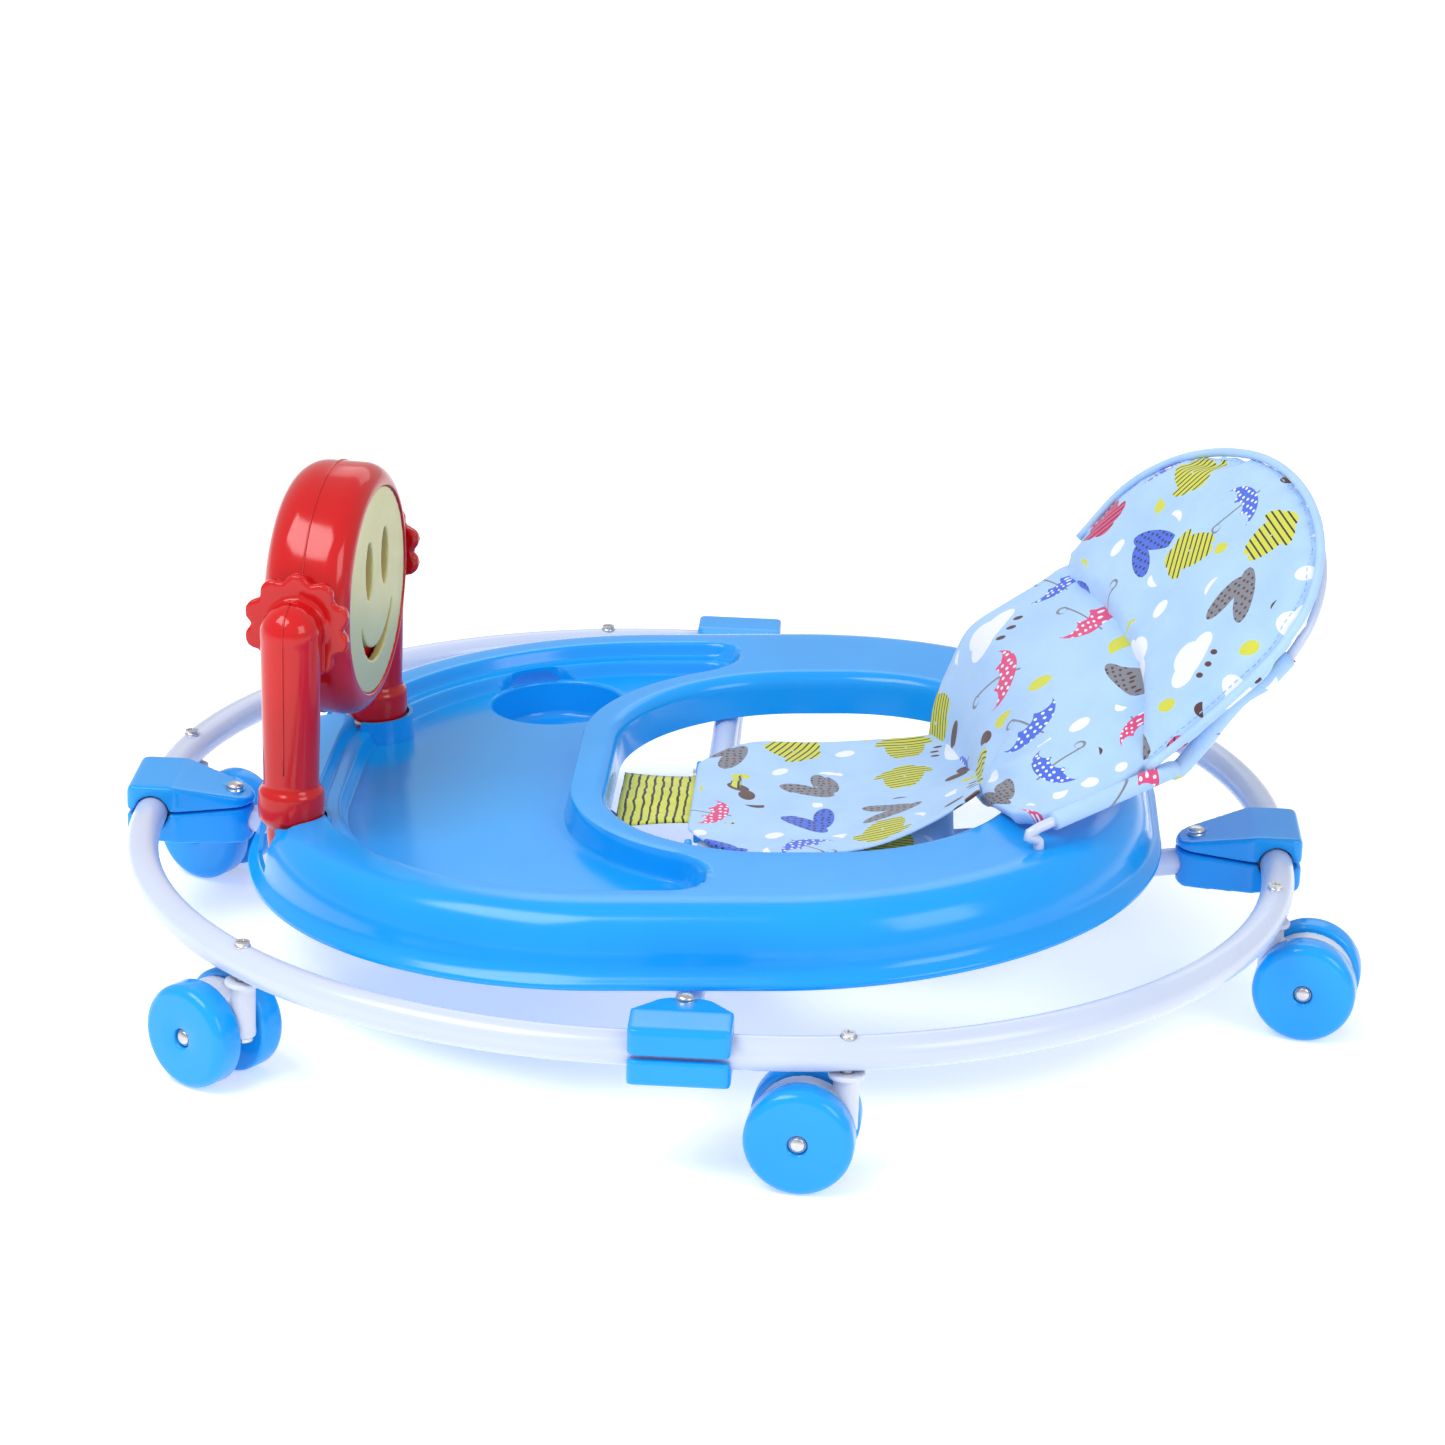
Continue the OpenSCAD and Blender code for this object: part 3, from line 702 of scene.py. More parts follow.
def shapeTray(thing):
    cupBody, cupHollow = cupShapes()
    inTray = trayFrame.inverted() @ toyFrame
    cutters = []
    for s in (-1, 1):
        base = inTray @ Vector((s * toy["posts"], 0, -toy["footDrop"]))
        place = Vector((base.x, base.y, toy["wellFloor"]))
        for radius, low in ((toy["well"], 0.0), (toy["collarRoom"], toy["ledge"] - toy["wellFloor"])):
            outline = [(0, low), (radius, low), (radius, 0.06), (0, 0.06)]
            cutters.append(roundCutter("wellCut", outline, place, 48))
        w, deep = toy["well"], 0.045
        corners = [Vector((sx * w, -deep * fy, z)) for sx in (-1, 1) for fy in (0, 1) for z in (0, 0.06)]
        corners = [place + toyTurn.to_3x3() @ c for c in corners]
        faces = [(0, 1, 3, 2), (4, 6, 7, 5), (0, 4, 5, 1), (2, 3, 7, 6), (0, 2, 6, 4), (1, 5, 7, 3)]
        mesh = meshFrom("slotCut", corners, faces)
        tidyMesh(mesh)
        cutters.append(linked("slotCut", mesh))
    cutters = [cupBody, cupHollow] + cutters
    for cutter in cutters:
        cut = thing.modifiers.new("cut", "BOOLEAN")
        cut.operation = "UNION" if cutter is cupBody else "DIFFERENCE"
        cut.solver = "MANIFOLD"
        cut.object = cutter
    baked(thing)
    for cutter in cutters:
        bpy.data.objects.remove(cutter)


def makeWells(material):
    inTray = trayFrame.inverted() @ toyFrame
    for s, side in ((-1, "left"), (1, "right")):
        base = inTray @ Vector((s * toy["posts"], 0, -toy["footDrop"]))
        points, faces = [], []
        steps = 40
        inner, wallOut, low, top = toy["well"] + 0.0002, toy["wellWall"], 0.0075, 0.0390
        loop = [(0.0005, low), (wallOut, low), (wallOut, top), (toy["collarRoom"] + 0.0002, top),
                (toy["collarRoom"] + 0.0002, toy["ledge"]), (inner, toy["ledge"]),
                (inner, toy["wellFloor"] + 0.001), (inner - 0.0015, toy["wellFloor"]), (0.0005, toy["wellFloor"])]
        turn = math.radians(toy["turn"])
        for k in range(steps + 1):
            a = turn - math.radians(8) + math.radians(196) * k / steps
            for r, z in loop:
                points.append(Vector((base.x + r * math.cos(a), base.y + r * math.sin(a), z)))
        count = len(loop)
        for k in range(steps):
            for i in range(count):
                j = (i + 1) % count
                faces.append((k * count + i, (k + 1) * count + i, (k + 1) * count + j, k * count + j))
        faces.append(tuple(range(count)))
        faces.append(tuple(steps * count + i for i in range(count))[::-1])
        mesh = meshFrom("well_" + side, points, faces)
        mesh.transform(trayFrame)
        tidyMesh(mesh)
        thing = makeObject("toyWell_" + side, mesh, material, "tray")
        thing.data.set_sharp_from_angle(angle=math.radians(40))


# wheels and running gear
wheel = {"width": 0.018, "gap": 0.016, "hub": 0.0055, "axle": 0.0031, "round": 0.006}


def wheelOutline(radius):
    w, r = wheel["width"], wheel["round"]
    outline = [(wheel["axle"], 0.0), (radius - 0.002, 0.0), (radius - 0.0006, 0.0006), (radius, 0.002),
               (radius, w - r)]
    outline += [(radius - r + r * math.cos(t), w - r + r * math.sin(t))
                for t in np.linspace(0.15, math.pi / 2, 8)]
    outline += [(radius * 0.55, w + 0.0002), (wheel["hub"] + 0.0012, w), (wheel["hub"] + 0.0003, w - 0.0004),
                (wheel["hub"], w - 0.0012), (wheel["hub"] - 0.0002, w - 0.004), (wheel["axle"], w - 0.004),
                (wheel["axle"], 0.0)]
    return outline


def makeWheels(material):
    for k in range(1, 7):
        name = f"wheels_{k}"
        spin = joints[f"wheel_spin_{k}"]
        place, axis = Vector(spin["pos_m"]), Vector(spin["axis"]).normalized()
        low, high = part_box(name)
        radius = (high.z - low.z) / 2
        meshes = []
        for s in (-1, 1):
            turn = (axis * s).to_track_quat("Z", "Y").to_matrix()
            meshes.append(lathe(name, wheelOutline(radius), place + axis * s * wheel["gap"] / 2, turn, 72))
        shape = bmesh.new()
        for mesh in meshes:
            shape.from_mesh(mesh)
        joined = bpy.data.meshes.new(name)
        shape.to_mesh(joined)
        shape.free()
        thing = makeObject(f"casterWheels_{k}", joined, material, f"wheelset_{k}", [name])
        thing.data.set_sharp_from_angle(angle=math.radians(60))


# toy
def makeToyHead(material):
    r, h = toy["headRadius"], toy["headHalf"]
    plate = 0.0612
    outline = [(0.0, -h), (r - 0.030, -h), (r - 0.024, -h + 0.0006)]
    outline += [(r - 0.020 + 0.020 * math.cos(t), -h + 0.020 + 0.0196 * math.sin(t))
                for t in np.linspace(-1.35, 0, 8)]
    outline += [(r, -0.001), (r, 0.001)]
    outline += [(r - 0.013 + 0.013 * math.cos(t), h - 0.014 + 0.0135 * math.sin(t))
                for t in np.linspace(0, 1.45, 8)]
    outline += [(plate + 0.0004, h - 0.0008), (plate, h - 0.0016), (plate, h - 0.009), (0.0, h - 0.009)]
    facing = Vector((0, 1, 0)).to_track_quat("Z", "Y").to_matrix()
    mesh = lathe("toyDrum", outline, toyMiddle, toyTurn.to_3x3() @ facing, 96)
    thing = makeObject("toyDrum", mesh, material, "head", ["toy_head"])
    thing.data.set_sharp_from_angle(angle=math.radians(55))
    seam = []
    for t in np.linspace(0, 2 * math.pi, 97)[:-1]:
        seam.append(toyFrame @ Vector(((r + 0.0001) * math.cos(t), 0, (r + 0.0001) * math.sin(t))))
    makeObject("toyDrumSeam", tube("toyDrumSeam", seam, 0.0006, 8, True), material, "head")


def makePostSeams(material):
    for s, side in ((-1, "left"), (1, "right")):
        path = []
        x = s * (toy["posts"] + 0.0177)
        for z in np.linspace(0.0, -0.080, 9):
            path.append(toyFrame @ Vector((x - s * 0.0018 * (-z / 0.090), 0, z)))
        for t in np.linspace(0.35, 1.5, 7):
            across, up = toy["posts"] + 0.0179 * math.cos(t), 0.0179 * math.sin(t)
            path.insert(0, toyFrame @ Vector((s * across, 0, up)))
        mesh = tube("postSeam_" + side, path, 0.0006, 8)
        makeObject("postSeam_" + side, mesh, material, "tray")


# soft goods
seatLook = {"half": 0.095, "front": 0.0175, "rear": 0.146, "low": 0.0016, "thick": 0.0095, "corner": 0.040}
backLook = {"lean": 40.0, "turn": 25.0, "thick": 0.016, "edge": 0.007, "piping": 0.0026}
backMiddle = ringCentre + Vector((0, 0.2695, 0.160))
backFrame = (Matrix.Translation(backMiddle) @ Matrix.Rotation(math.radians(backLook["turn"]), 4, "Z")
             @ Matrix.Rotation(math.radians(-backLook["lean"]), 4, "X"))
# outline of the back panel, across and up, in its own plane
backOutline = [(-0.119, -0.010), (-0.113, 0.030), (-0.090, 0.059), (-0.052, 0.079), (-0.005, 0.088),
               (0.045, 0.081), (0.086, 0.061), (0.112, 0.032), (0.119, 0.000), (0.114, -0.030),
               (0.103, -0.066), (0.090, -0.098)]
backWaist = [(0.084, -0.102), (0.064, -0.086), (0.040, -0.068), (0.004, -0.053), (-0.045, -0.040),
             (-0.085, -0.036), (-0.112, -0.030)]


def backPoint(u, v, n=0.0):
    return backFrame @ Vector((u, -n, v))


def closedPad(name, outline, place, thick, edge, rings=16):
    outline = [Vector(p) for p in outline]
    count = len(outline)
    middlePoint = sum(outline, Vector((0, 0))) / count
    points, maps, faces = [], [], []

    def crown(share):
        return edge / 2 + (thick - edge) / 2 * (1 - share ** 2.2)

    for sign in (1, -1):
        for k in range(rings):
            share = 1 - k / rings
            for p in outline:
                flat = middlePoint + (p - middlePoint) * share
                points.append(place(flat.x, flat.y, sign * crown(share)))
                maps.append(flat)
        points.append(place(middlePoint.x, middlePoint.y, sign * crown(0)))
        maps.append(middlePoint)
    block = rings * count + 1
    for side in (0, 1):
        base = side * block
        for k in range(rings - 1):
            for i in range(count):
                a, b = base + k * count + i, base + k * count + (i + 1) % count
                quad = (a, b, b + count, a + count)
                faces.append(quad if side == 0 else quad[::-1])
        for i in range(count):
            a, b = base + (rings - 1) * count + i, base + (rings - 1) * count + (i + 1) % count
            tri = (a, b, base + block - 1)
            faces.append(tri if side == 0 else tri[::-1])
    for i in range(count):
        a, b = i, (i + 1) % count
        faces.append((b, a, block + a, block + b))
    mesh = meshFrom(name, points, faces)
    tidyMesh(mesh, 1e-7)
    return mesh


def mapCover(mesh, place):
    layer = mesh.uv_layers.get("cover") or mesh.uv_layers.new(name="cover")
    for loop in mesh.loops:
        layer.data[loop.index].uv = place(mesh.vertices[loop.vertex_index].co)


puff = {"voxel": 0.005, "pressure": 4.0, "frames": 20, "sideways": 0.12}


def inflate(thing, cap, axis):
    evenOut(thing, puff["voxel"])
    baked(thing)
    start = np.array([v.co for v in thing.data.vertices])
    cloth = thing.modifiers.new("cloth", "CLOTH")
    cloth.settings.use_pressure = True
    cloth.settings.uniform_pressure_force = puff["pressure"]
    cloth.settings.effector_weights.gravity = 0
    cloth.settings.quality = 5
    cloth.collision_settings.use_collision = False
    cloth.point_cache.frame_start = 1
    cloth.point_cache.frame_end = puff["frames"]
    for number in range(1, puff["frames"] + 1):
        bpy.context.scene.frame_set(number)
    baked(thing)
    bpy.context.scene.frame_set(1)
    end = np.array([v.co for v in thing.data.vertices])
    move = end - start
    # the edge is sewn to its piping, so the panel swells but hardly draws in
    out = (move @ np.array(axis))[:, None] * np.array(axis)
    move = out + (move - out) * puff["sideways"]
    size = np.linalg.norm(move, axis=1, keepdims=True)
    end = start + move * np.minimum(1, cap / np.maximum(size, 1e-9))
    thing.data.vertices.foreach_set("co", end.astype(np.float32).ravel())
    thing.data.update()
    addFiner(thing)
    baked(thing)


def dressPad(name, mesh, material, mapper, cap, nodes, axis):
    thing = linked(name, mesh)
    inflate(thing, cap, axis)
    mapCover(thing.data, mapper)
    dress(thing, material, "tray", nodes)


def makeBack(material, piping):
    edge = [Vector((x, y, 0)) for x, y in backOutline]
    waist = [Vector((x, y, 0)) for x, y in backWaist]
    loop = smoothed(edge + waist, 5, True)
    outline = [(p.x, p.y) for p in loop]
    mesh = closedPad("backCushion", outline, backPoint, backLook["thick"], backLook["edge"])
    undo = backFrame.inverted()

    def mapper(co):
        local = undo @ co
        return (local.x + 0.2, local.z + 0.2)

    facing = (backPoint(0, 0, 1) - backPoint(0, 0, 0)).normalized()
    dressPad("backCushion", mesh, material, mapper, 0.005, ["back_pad"], facing)
    bead = smoothed([backPoint(x, y, 0.0035) for x, y in backOutline], 6)
    mesh = tube("backPiping", bead, backLook["piping"], 10)
    makeObject("backPiping", mesh, piping, "tray")


wing = {"bottom": [(-0.095, 0.124, 0.016), (-0.062, 0.140, 0.019), (-0.010, 0.150, 0.026),
                   (0.040, 0.153, 0.038), (0.082, 0.156, 0.053), (0.122, 0.172, 0.061)],
        "far": [(-0.095, 0.124, 0.016), (-0.104, 0.128, 0.047), (-0.107, 0.137, 0.072), (-0.106, 0.147, 0.095),
                (-0.102, 0.168, 0.113), (-0.098, 0.190, 0.130), (-0.093, 0.200, 0.141)],
        "near": [(0.122, 0.172, 0.061), (0.138, 0.190, 0.068), (0.133, 0.212, 0.075), (0.121, 0.231, 0.081),
                 (0.107, 0.244, 0.084)],
        "across": 44, "up": 26, "thick": 0.009, "bulge": 0.010, "vertex": (0.62, 0.10), "folds": 7,
        "foldDeep": 0.0035}


def alongPath(path, t):
    place = t * (len(path) - 1)
    i = min(int(place), len(path) - 2)
    return path[i].lerp(path[i + 1], place - i)


def makeWing(material):
    bottom, far, near = (smoothed([ringCentre + Vector(p) for p in wing[side]], 10)
                         for side in ("bottom", "far", "near"))
    top = smoothed([backPoint(x, y + 0.010, 0.0) for x, y in reversed(backWaist)], 10)
    far[-1] = top[0]
    near[-1] = top[-1]
    nu, nv = wing["across"], wing["up"]
    grid = []
    for j in range(nv + 1):
        t = j / nv
        row = []
        for i in range(nu + 1):
            s = i / nu
            b, u = alongPath(bottom, s), alongPath(top, s)
            l, r = alongPath(far, t), alongPath(near, t)
            corner = (bottom[0] * (1 - s) * (1 - t) + bottom[-1] * s * (1 - t) + top[0] * (1 - s) * t
                      + top[-1] * s * t)
            row.append(b * (1 - t) + u * t + l * (1 - s) + r * s - corner)
        grid.append(row)
    face = (grid[0][-1] - grid[0][0]).cross(grid[-1][nu // 2] - grid[0][nu // 2]).normalized()
    if face.z < 0:
        face = -face
    vs, vt = wing["vertex"]
    for j in range(nv + 1):
        t = j / nv
        for i in range(nu + 1):
            s = i / nu
            away = math.hypot((s - vs) * 1.6, t - vt)
            spokes = math.cos(wing["folds"] * math.atan2(t - vt, (s - vs) * 1.6))
            fold = wing["foldDeep"] * spokes * min(1, away / 0.12) * math.exp(-away / 0.35)
            swell = wing["bulge"] * math.sin(math.pi * min(1, s * 1.15)) ** 0.8 * math.sin(math.pi * t) ** 0.7
            inside = min(1, 12 * min(s, 1 - s, t, 1 - t))
            grid[j][i] = grid[j][i] + face * (swell + fold * inside)
    mesh = meshFrom("wingPanel", [p for row in grid for p in row], sheetFaces(nu, nv))
    flat = [(i / nu * 0.215 + 0.5, j / nv * 0.115 + 0.31) for j in range(nv + 1) for i in range(nu + 1)]
    mapSheet(mesh, flat)
    thing = linked("wingPanel", mesh)
    addWall(thing, wing["thick"], 1 if mesh.polygons[nu * nv // 2].normal.dot(face) < 0 else -1)
    addFiner(thing)
    baked(thing)
    dress(thing, material, "tray", ["back_wings"])


flap = {"near": -0.0555, "long": 0.0710, "wide": 0.090, "waist": 0.012, "level": 0.0150, "ripple": 0.0007,
        "thick": 0.0016, "across": 16, "along": 24}


def makeSeat(material, striped):
    corner = seatLook["corner"]
    right, left = seatLook["half"] - corner, corner - seatLook["half"]
    rear, front = seatLook["rear"] - corner, seatLook["front"] + corner
    corners = []
    for cx, cy, start in ((right, rear, 0), (left, rear, 90), (left, front, 180), (right, front, 270)):
        for k in range(9):
            a = math.radians(start + 90 * k / 8)
            corners.append((cx + corner * math.cos(a), cy + corner * math.sin(a)))
    level = seatLook["low"] + seatLook["thick"] / 2

    def place(x, y, n):
        return trayFrame @ Vector((x, y, level + n))

    mesh = closedPad("seatCushion", corners, place, seatLook["thick"], 0.006, 14)
    undo = trayFrame.inverted()

    def mapper(co):
        local = undo @ co
        return (local.x + 0.8, local.y + 0.1)

    upward = (place(0, 0, 1) - place(0, 0, 0)).normalized()
    dressPad("seatCushion", mesh, material, mapper, 0.004, ["seat_pad"], upward)
    nu, nv = flap["across"], flap["along"]
    grid = []
    for j in range(nv + 1):
        t = j / nv
        y = flap["near"] + flap["long"] * t
        for i in range(nu + 1):
            s = i / nu - 0.5
            wide = flap["wide"] - flap["waist"] * math.sin(math.pi * t)
            z = flap["level"] + flap["ripple"] * math.cos(9 * s + 2 * t)
            grid.append(trayFrame @ Vector((s * wide, y, z)))
    thing = linked("frontFlap", meshFrom("frontFlap", grid, sheetFaces(nu, nv)))
    addWall(thing, flap["thick"], 0)
    baked(thing)
    mapCover(thing.data, lambda co: ((undo @ co).x, (undo @ co).y))
    dress(thing, striped, "tray", ["front_flap"])


wire = {"foot": (0.150, 0.190), "plug": 0.004, "bare": 0.012, "bend": (0.090, -0.084), "hoop": (0.106, 0.076),
        "behind": -0.014, "radius": 0.003}


def wireFoot(s, lift):
    return trayFrame @ Vector((s * wire["foot"][0], wire["foot"][1], tray["height"] + lift))


def wireBend(s):
    return backPoint(s * wire["bend"][0], wire["bend"][1], wire["behind"])


def hoopPoint(angle, s=1):
    across, up = wire["hoop"]
    return backPoint(s * across * math.cos(angle), up * math.sin(angle), wire["behind"])


def makeWire(material):
    plug, bare = wire["plug"], wire["bare"]
    made = [wireFoot(1, -plug), wireFoot(1, plug), wireFoot(1, bare), wireBend(1)]
    made += [hoopPoint(math.radians(t)) for t in range(-30, 211, 12)]
    made += [wireBend(-1), wireFoot(-1, bare), wireFoot(-1, plug), wireFoot(-1, -plug)]
    mesh = tube("backWire", smoothed(made, 5), wire["radius"], 14)
    makeObject("backWire", mesh, material, "tray", ["back_wire"])


hem = {"radius": 0.0052, "ease": 0.10}


# The cover's edge is sewn round the wire, all but the bare ends that plug into the tray
def makeHem(material):
    for s, side in ((1, "near"), (-1, "far")):
        foot, head = wireFoot(s, wire["bare"]), wireBend(s)
        path = [foot.lerp(head, hem["ease"] + (1 - hem["ease"]) * k / 10) for k in range(11)]
        path += [hoopPoint(a, s) for a in (-0.52, -0.25, 0.0)]
        mesh = tube("wireHem_" + side, smoothed(path, 4), hem["radius"], 14)
        mapCover(mesh, lambda co: (co.y + 0.35, co.z + s * 0.2))
        thing = makeObject("wireHem_" + side, mesh, material, "tray")


seatCover = {"half": 0.094, "front": -0.012, "rear": 0.158, "top": 0.0172, "sag": 0.0040, "rise": 0.038,
             "farRise": 0.010, "folds": 0.0011, "thick": 0.0022, "across": 40, "along": 44}


# The printed sheet over the cushion, from the striped flap up to the lower back
def makeSeatCover(material):
    nu, nv = seatCover["across"], seatCover["along"]
    grid, flat = [], []
    for j in range(nv + 1):
        t = j / nv
        y = seatCover["front"] + (seatCover["rear"] - seatCover["front"]) * t
        nose = max(0.0, 1 - t / 0.24)
        half = seatCover["half"] * (1 - 0.42 * nose ** 2.2)
        for i in range(nu + 1):
            u = 2 * i / nu - 1
            x = half * u
            back = max(0.0, (t - 0.45) / 0.55)
            z = seatCover["top"] - seatCover["sag"] * min(1.0, t / 0.3) * (1 - u * u) * (1 - back)
            z += seatCover["rise"] * back ** 2 * (0.5 + 0.5 * u) ** 2
            z += seatCover["farRise"] * back ** 2 * (0.5 - 0.5 * u)
            fold = math.sin(5.2 * u + 7 * t) * math.sin(9 * t + 2 * u) + 0.6 * math.sin(16 * t - 5 * u)
            z += seatCover["folds"] * fold * min(1, 8 * t, 8 * (1 - abs(u)) + 0.2)
            grid.append(trayFrame @ Vector((x, y, z)))
            flat.append((x + 0.8, y * 1.04 + 0.1))
    mesh = meshFrom("seatCover", grid, sheetFaces(nu, nv))
    mapSheet(mesh, flat)
    thing = linked("seatCover", mesh)
    addWall(thing, seatCover["thick"], 0)
    addFiner(thing)
    baked(thing)
    dress(thing, material, "tray")


def newTree(name, inputs):
    tree = bpy.data.node_groups.new(name, "GeometryNodeTree")
    tree.interface.new_socket("Geometry", in_out="INPUT", socket_type="NodeSocketGeometry")
    for label, kind, value in inputs:
        socket = tree.interface.new_socket(label, in_out="INPUT", socket_type=kind)
        if value is not None:
            socket.default_value = value
    tree.interface.new_socket("Material", in_out="INPUT", socket_type="NodeSocketMaterial")
    tree.interface.new_socket("Geometry", in_out="OUTPUT", socket_type="NodeSocketGeometry")
    return tree, tree.nodes.new("NodeGroupInput")


def endTree(tree, source, instances):
    real = addNode(tree, "GeometryNodeRealizeInstances", {"Geometry": instances})
    shade = addNode(tree, "GeometryNodeSetShadeSmooth", {"Geometry": real.outputs["Geometry"]})
    paintOn = addNode(tree, "GeometryNodeSetMaterial",
                      {"Geometry": shade.outputs["Geometry"], "Material": source.outputs["Material"]})
    addNode(tree, "NodeGroupOutput", {"Geometry": paintOn.outputs["Geometry"]})


# A flattened dome stood on every point along the point's own axis, with a cross cut into it if Slot is above 0
def headTree():
    tree, source = newTree("screwHeads", [("Radius", "NodeSocketFloat", 0.004),
                                          ("Height", "NodeSocketFloat", 0.002),
                                          ("Slot", "NodeSocketFloat", 0.0), ("Seed", "NodeSocketInt", 7)])
    given = source.outputs
    ball = addNode(tree, "GeometryNodeMeshUVSphere", {"Segments": 28, "Rings": 14, "Radius": 1.0})
    shape = addNode(tree, "ShaderNodeCombineXYZ",
                    {"X": given["Radius"], "Y": given["Radius"], "Z": given["Height"]})
    flat = addNode(tree, "GeometryNodeTransform",
                   {"Geometry": ball.outputs["Mesh"], "Scale": shape.outputs["Vector"]})
    bars = addNode(tree, "GeometryNodeJoinGeometry")
    for long, short in (("X", "Y"), ("Y", "X")):
        size = addNode(tree, "ShaderNodeCombineXYZ", {long: given["Radius"], short: given["Slot"],
                                                      "Z": given["Height"]})
        bar = addNode(tree, "GeometryNodeMeshCube", {"Size": size.outputs["Vector"]})
        lift = addNode(tree, "ShaderNodeCombineXYZ", {"Z": given["Height"]})
        raised = addNode(tree, "GeometryNodeTransform",
                         {"Geometry": bar.outputs["Mesh"], "Translation": lift.outputs["Vector"]})
        feed(tree, bars, {"Geometry": raised.outputs["Geometry"]})
    cut = addNode(tree, "GeometryNodeMeshBoolean",
                  {"Mesh 1": flat.outputs["Geometry"], "Mesh 2": bars.outputs["Geometry"]},
                  operation="DIFFERENCE")
    slotted = addNode(tree, "FunctionNodeCompare", {"A": given["Slot"]}, operation="GREATER_THAN")
    pick = addNode(tree, "GeometryNodeSwitch",
                   {"Switch": slotted.outputs[0], "False": flat.outputs["Geometry"], "True": cut.outputs["Mesh"]},
                   input_type="GEOMETRY")
    axis = addNode(tree, "GeometryNodeInputNamedAttribute", {"Name": "axis"}, data_type="FLOAT_VECTOR")
    aim = addNode(tree, "FunctionNodeAlignRotationToVector", {"Vector": axis.outputs["Attribute"]}, axis="Z")
    chance = addNode(tree, "FunctionNodeRandomValue", {3: math.pi, "Seed": given["Seed"]}, data_type="FLOAT")
    about = addNode(tree, "ShaderNodeCombineXYZ", {"Z": chance.outputs[1]})
    turnBy = addNode(tree, "FunctionNodeEulerToRotation", {"Euler": about.outputs["Vector"]})
    turned = addNode(tree, "FunctionNodeRotateRotation",
                     {"Rotation": aim.outputs["Rotation"], "Rotate By": turnBy.outputs["Rotation"]},
                     rotation_space="LOCAL")
    stand = addNode(tree, "GeometryNodeInstanceOnPoints",
                    {"Points": given["Geometry"], "Instance": pick.outputs["Output"],
                     "Rotation": turned.outputs["Rotation"]})
    endTree(tree, source, stand.outputs["Instances"])
    return tree


# Short rounded threads set along a line at an even pitch
def stitchTree():
    tree, source = newTree("stitchRow", [("Pitch", "NodeSocketFloat", 0.0045),
                                         ("Length", "NodeSocketFloat", 0.0030),
                                         ("Thread", "NodeSocketFloat", 0.0004), ("Seed", "NodeSocketInt", 3)])
    given = source.outputs
    line = addNode(tree, "GeometryNodeMeshToCurve", {"Mesh": given["Geometry"]})
    even = addNode(tree, "GeometryNodeResampleCurve", {"Curve": line.outputs["Curve"]}, mode="LENGTH")
    feed(tree, even, {"Length": given["Pitch"]})
    ball = addNode(tree, "GeometryNodeMeshUVSphere", {"Segments": 8, "Rings": 6, "Radius": 1.0})
    half = addNode(tree, "ShaderNodeMath", {0: given["Length"], 1: 0.5}, operation="MULTIPLY")
    size = addNode(tree, "ShaderNodeCombineXYZ",
                   {"X": half.outputs[0], "Y": given["Thread"], "Z": given["Thread"]})
    thread = addNode(tree, "GeometryNodeTransform",
                     {"Geometry": ball.outputs["Mesh"], "Scale": size.outputs["Vector"]})
    tangent = addNode(tree, "GeometryNodeInputTangent")
    aim = addNode(tree, "FunctionNodeAlignRotationToVector", {"Vector": tangent.outputs["Tangent"]}, axis="X")
    chance = addNode(tree, "FunctionNodeRandomValue", {2: 0.88, 3: 1.08, "Seed": given["Seed"]},
                     data_type="FLOAT")
    stand = addNode(tree, "GeometryNodeInstanceOnPoints",
                    {"Points": even.outputs["Curve"], "Instance": thread.outputs["Geometry"],
                     "Rotation": aim.outputs["Rotation"], "Scale": chance.outputs[1]})
    endTree(tree, source, stand.outputs["Instances"])
    return tree


def grown(name, mesh, tree, material, body, slot, nodes=(), **values):
    thing = linked(name, mesh)
    run = thing.modifiers.new("grow", "NODES")
    run.node_group = tree
    keys = {item.name: item.identifier for item in tree.interface.items_tree if item.in_out == "INPUT"}
    for label, value in values.items():
        run[keys[label]] = value
    run[keys["Material"]] = material
    baked(thing)
    tidyMesh(thing.data, 1e-7)
    dress(thing, material, body, nodes)
    thing.data.polygons.foreach_set("material_index", [0] * len(thing.data.polygons))


def pointMesh(name, points, axes):
    mesh = meshFrom(name, points, [])
    marks = mesh.attributes.new("axis", "FLOAT_VECTOR", "POINT")
    marks.data.foreach_set("vector", [c for axis in axes for c in axis])
    return mesh


heads = {"screw": (0.0046, 0.0024), "slot": 0.0010, "rivet": (0.0052, 0.0026), "rivetIn": 0.046,
         "rivetUp": 0.0096, "axle": (0.0044, 0.0020), "axleOut": 0.0238}


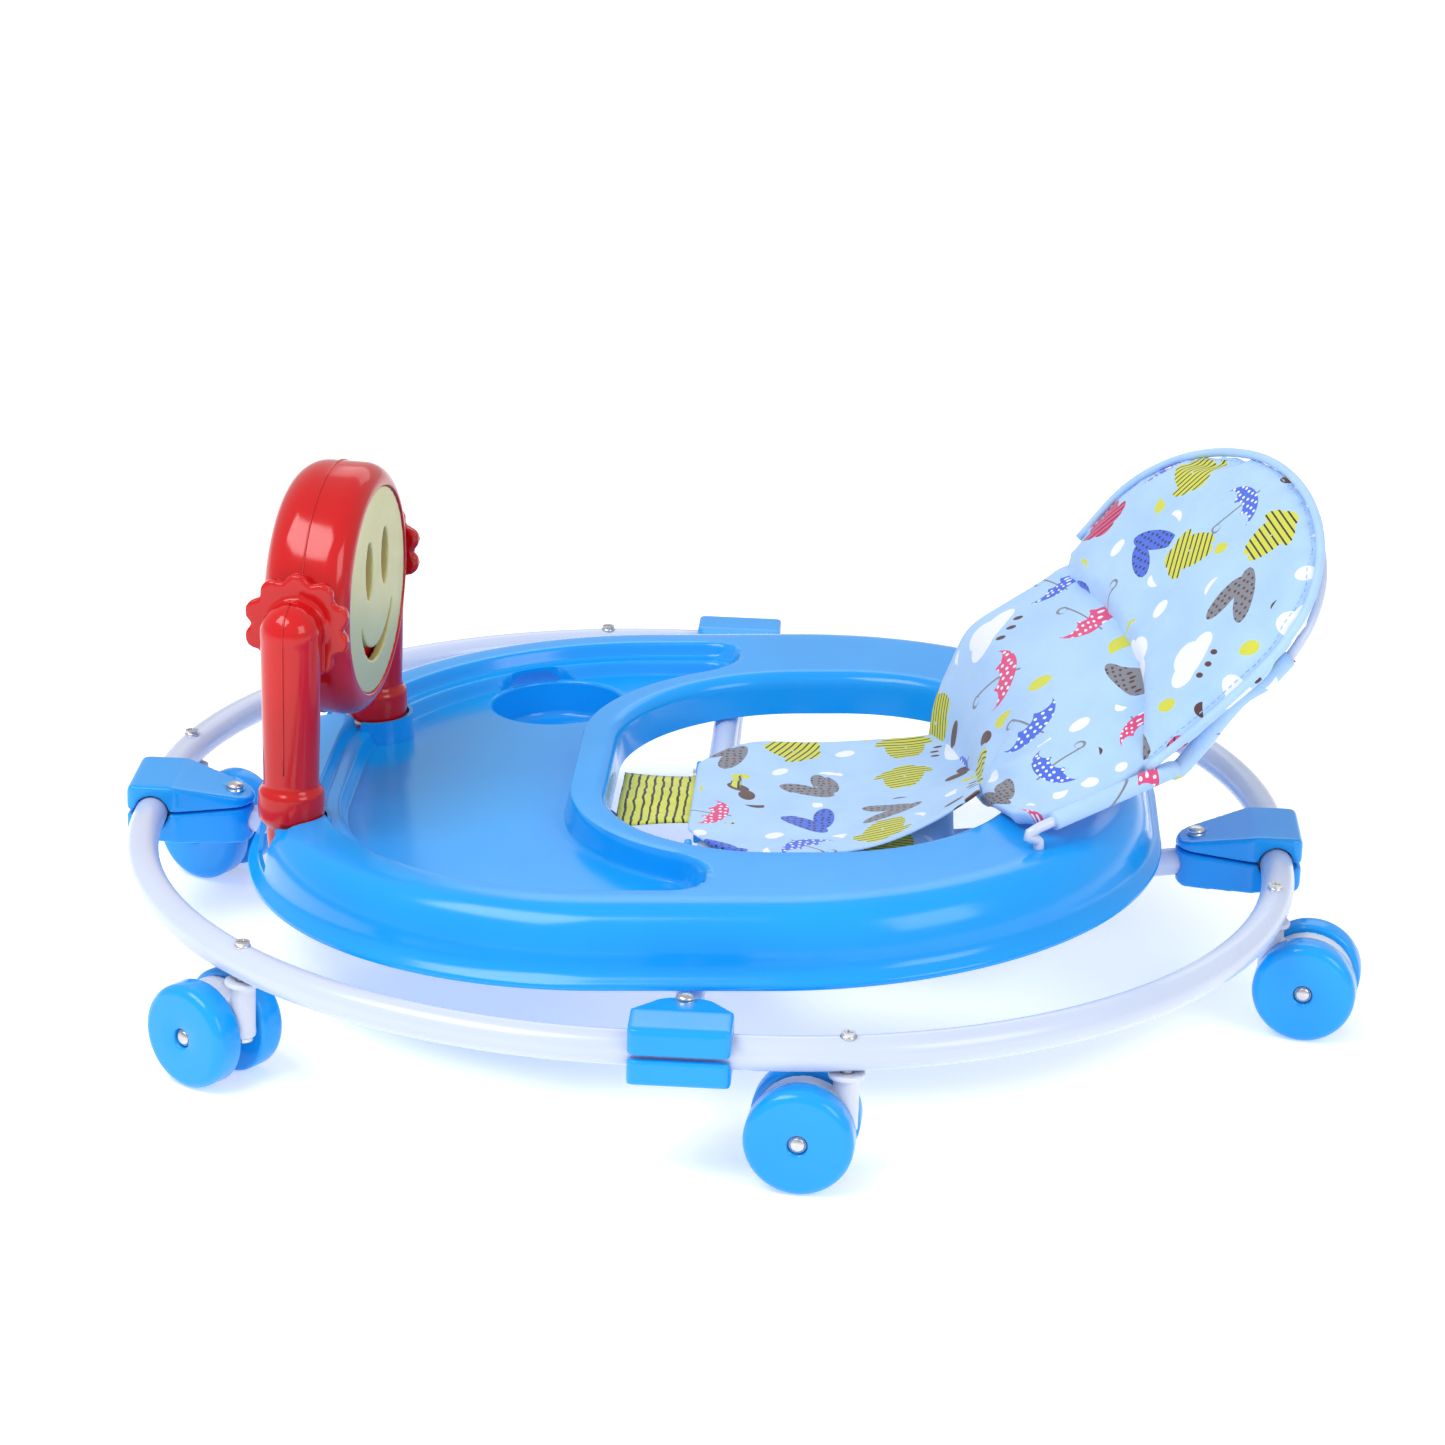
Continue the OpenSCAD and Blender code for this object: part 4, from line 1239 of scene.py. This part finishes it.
def makeHeads(steelLook):
    tree = headTree()
    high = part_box("ring_screws")[1]
    points = []
    for k in range(1, 7):
        x, y, _ = joints[f"caster_swivel_{k}"]["pos_m"]
        points.append((x, y, high.z - heads["screw"][1] - 0.0002))
    mesh = pointMesh("ringScrewHeads", points, [(0, 0, 1)] * 6)
    grown("ringScrewHeads", mesh, tree, steelLook, "base", "steel", Radius=heads["screw"][0],
          Height=heads["screw"][1], Slot=heads["slot"], Seed=11)
    for side in sides:
        hinge = Vector(joints[f"clamp_hinge_{side}"]["pos_m"])
        inward = Vector((ringCentre.x - hinge.x, ringCentre.y - hinge.y, 0)).normalized()
        top = hinge + inward * heads["rivetIn"] + Vector((0, 0, heads["rivetUp"]))
        mesh = pointMesh("clampRivet", [top], [(0, 0, 1)])
        grown(f"clampRivet_{side}", mesh, tree, steelLook, f"lower_{side}", "steel",
              Radius=heads["rivet"][0], Height=heads["rivet"][1], Slot=0.0, Seed=5)
    for k in range(1, 7):
        spin = joints[f"wheel_spin_{k}"]
        axis = Vector(spin["axis"]).normalized()
        points = [Vector(spin["pos_m"]) + axis * s * heads["axleOut"] for s in (-1, 1)]
        mesh = pointMesh("axleDomes", points, [-axis, axis])
        grown(f"axleDomes_{k}", mesh, tree, steelLook, f"caster_{k}", "steel",
              Radius=heads["axle"][0], Height=heads["axle"][1], Slot=0.0, Seed=5)


def makeStitches(thread):
    cushion = bpy.data.objects["backCushion"]
    bpy.context.view_layer.update()
    down = (backPoint(0, 0, 0) - backPoint(0, 0, 1)).normalized()
    path = []
    for x, y in [(p.x, p.y) for p in smoothed([Vector((x, y, 0)) * 0.945 for x, y in backOutline], 8)]:
        hit, place, _, _ = cushion.ray_cast(backPoint(x, y, 0.05), down)
        if hit:
            path.append(place - down * 0.0002)
    mesh = bpy.data.meshes.new("backStitches")
    mesh.from_pydata([tuple(p) for p in path], [(i, i + 1) for i in range(len(path) - 1)], [])
    grown("backStitches", mesh, stitchTree(), thread, "tray", "printed_fabric", Pitch=0.0044, Length=0.0031,
          Thread=0.00038, Seed=3)


ringPath = {"straight": 0.030, "steps": 40}


def makeRing(material):
    low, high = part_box("base_ring")
    radius = (high.z - low.z) / 2
    straight, steps = ringPath["straight"], ringPath["steps"]
    corner = (high.x - low.x) / 2 - radius - straight
    path = []
    for k, (sx, sy) in enumerate(((1, 1), (-1, 1), (-1, -1), (1, -1))):
        for step in range(steps + 1):
            angle = math.radians(90 * k + 90 * step / steps)
            path.append(ringCentre + Vector((sx * straight + corner * math.cos(angle),
                                             sy * straight + corner * math.sin(angle), 0)))
    mesh = tube("ringTube", path, radius, 40, True)
    makeObject("ringTube", mesh, material, "base", ["base_ring"])


# build
makeCamera()
makeStudio()
print("studio ready")
blue, red = mouldedPlastic("bluePlastic"), mouldedPlastic("redPlastic")
yellow, white = mouldedPlastic("yellowPlastic"), mouldedPlastic("whitePlastic")
paint, steel = tubePaint(), brightSteel()
printed, striped, pipingCloth = printedFabric(), stripedFabric(), pipingFabric()
finishes = {"base_ring": paint, "stem_pins": steel, "ring_screws": steel, "axle": steel, "clamp": blue,
            "lower_leg": paint, "upper_leg": paint, "knee": blue, "pins": steel, "toy_axle": steel}
for name, node in frame["nodes"].items():
    found = [finishes[key] for key in finishes if name.startswith(key)]
    node.data.materials.clear()
    node.data.materials.append(found[0] if found else blue)
print("materials ready")
makeTray(blue)
makeWells(blue)
makeRing(paint)
print("tray ready")
makeWheels(blue)
for k in range(1, 7):
    softened(f"fork_{k}", f"casterFork_{k}", 0.0009, 3, white, f"caster_{k}")
for side in sides:
    for part in ("clamp_top", "clamp_base", "knee"):
        softened(f"{part}_{side}", f"{part}_{side}_soft", 0.0011, 14, blue, f"lower_{side}")
print("running gear ready")
makeToyHead(red)
for side in ("right", "left"):
    softened(f"toy_post_{side}", f"toyPost_{side}", 0.0013, 6, red, "tray")
softened("toy_face", "toyFace", 0.0008, 3, yellow, "head")
makePostSeams(red)
print("toy ready")
makeSeat(printed, striped)
makeBack(printed, pipingCloth)
makeWing(printed)
makeWire(paint)
makeHem(printed)
makeSeatCover(printed)
makeStitches(pipingCloth)
print("seat ready")
makeHeads(steel)
print("fasteners ready")
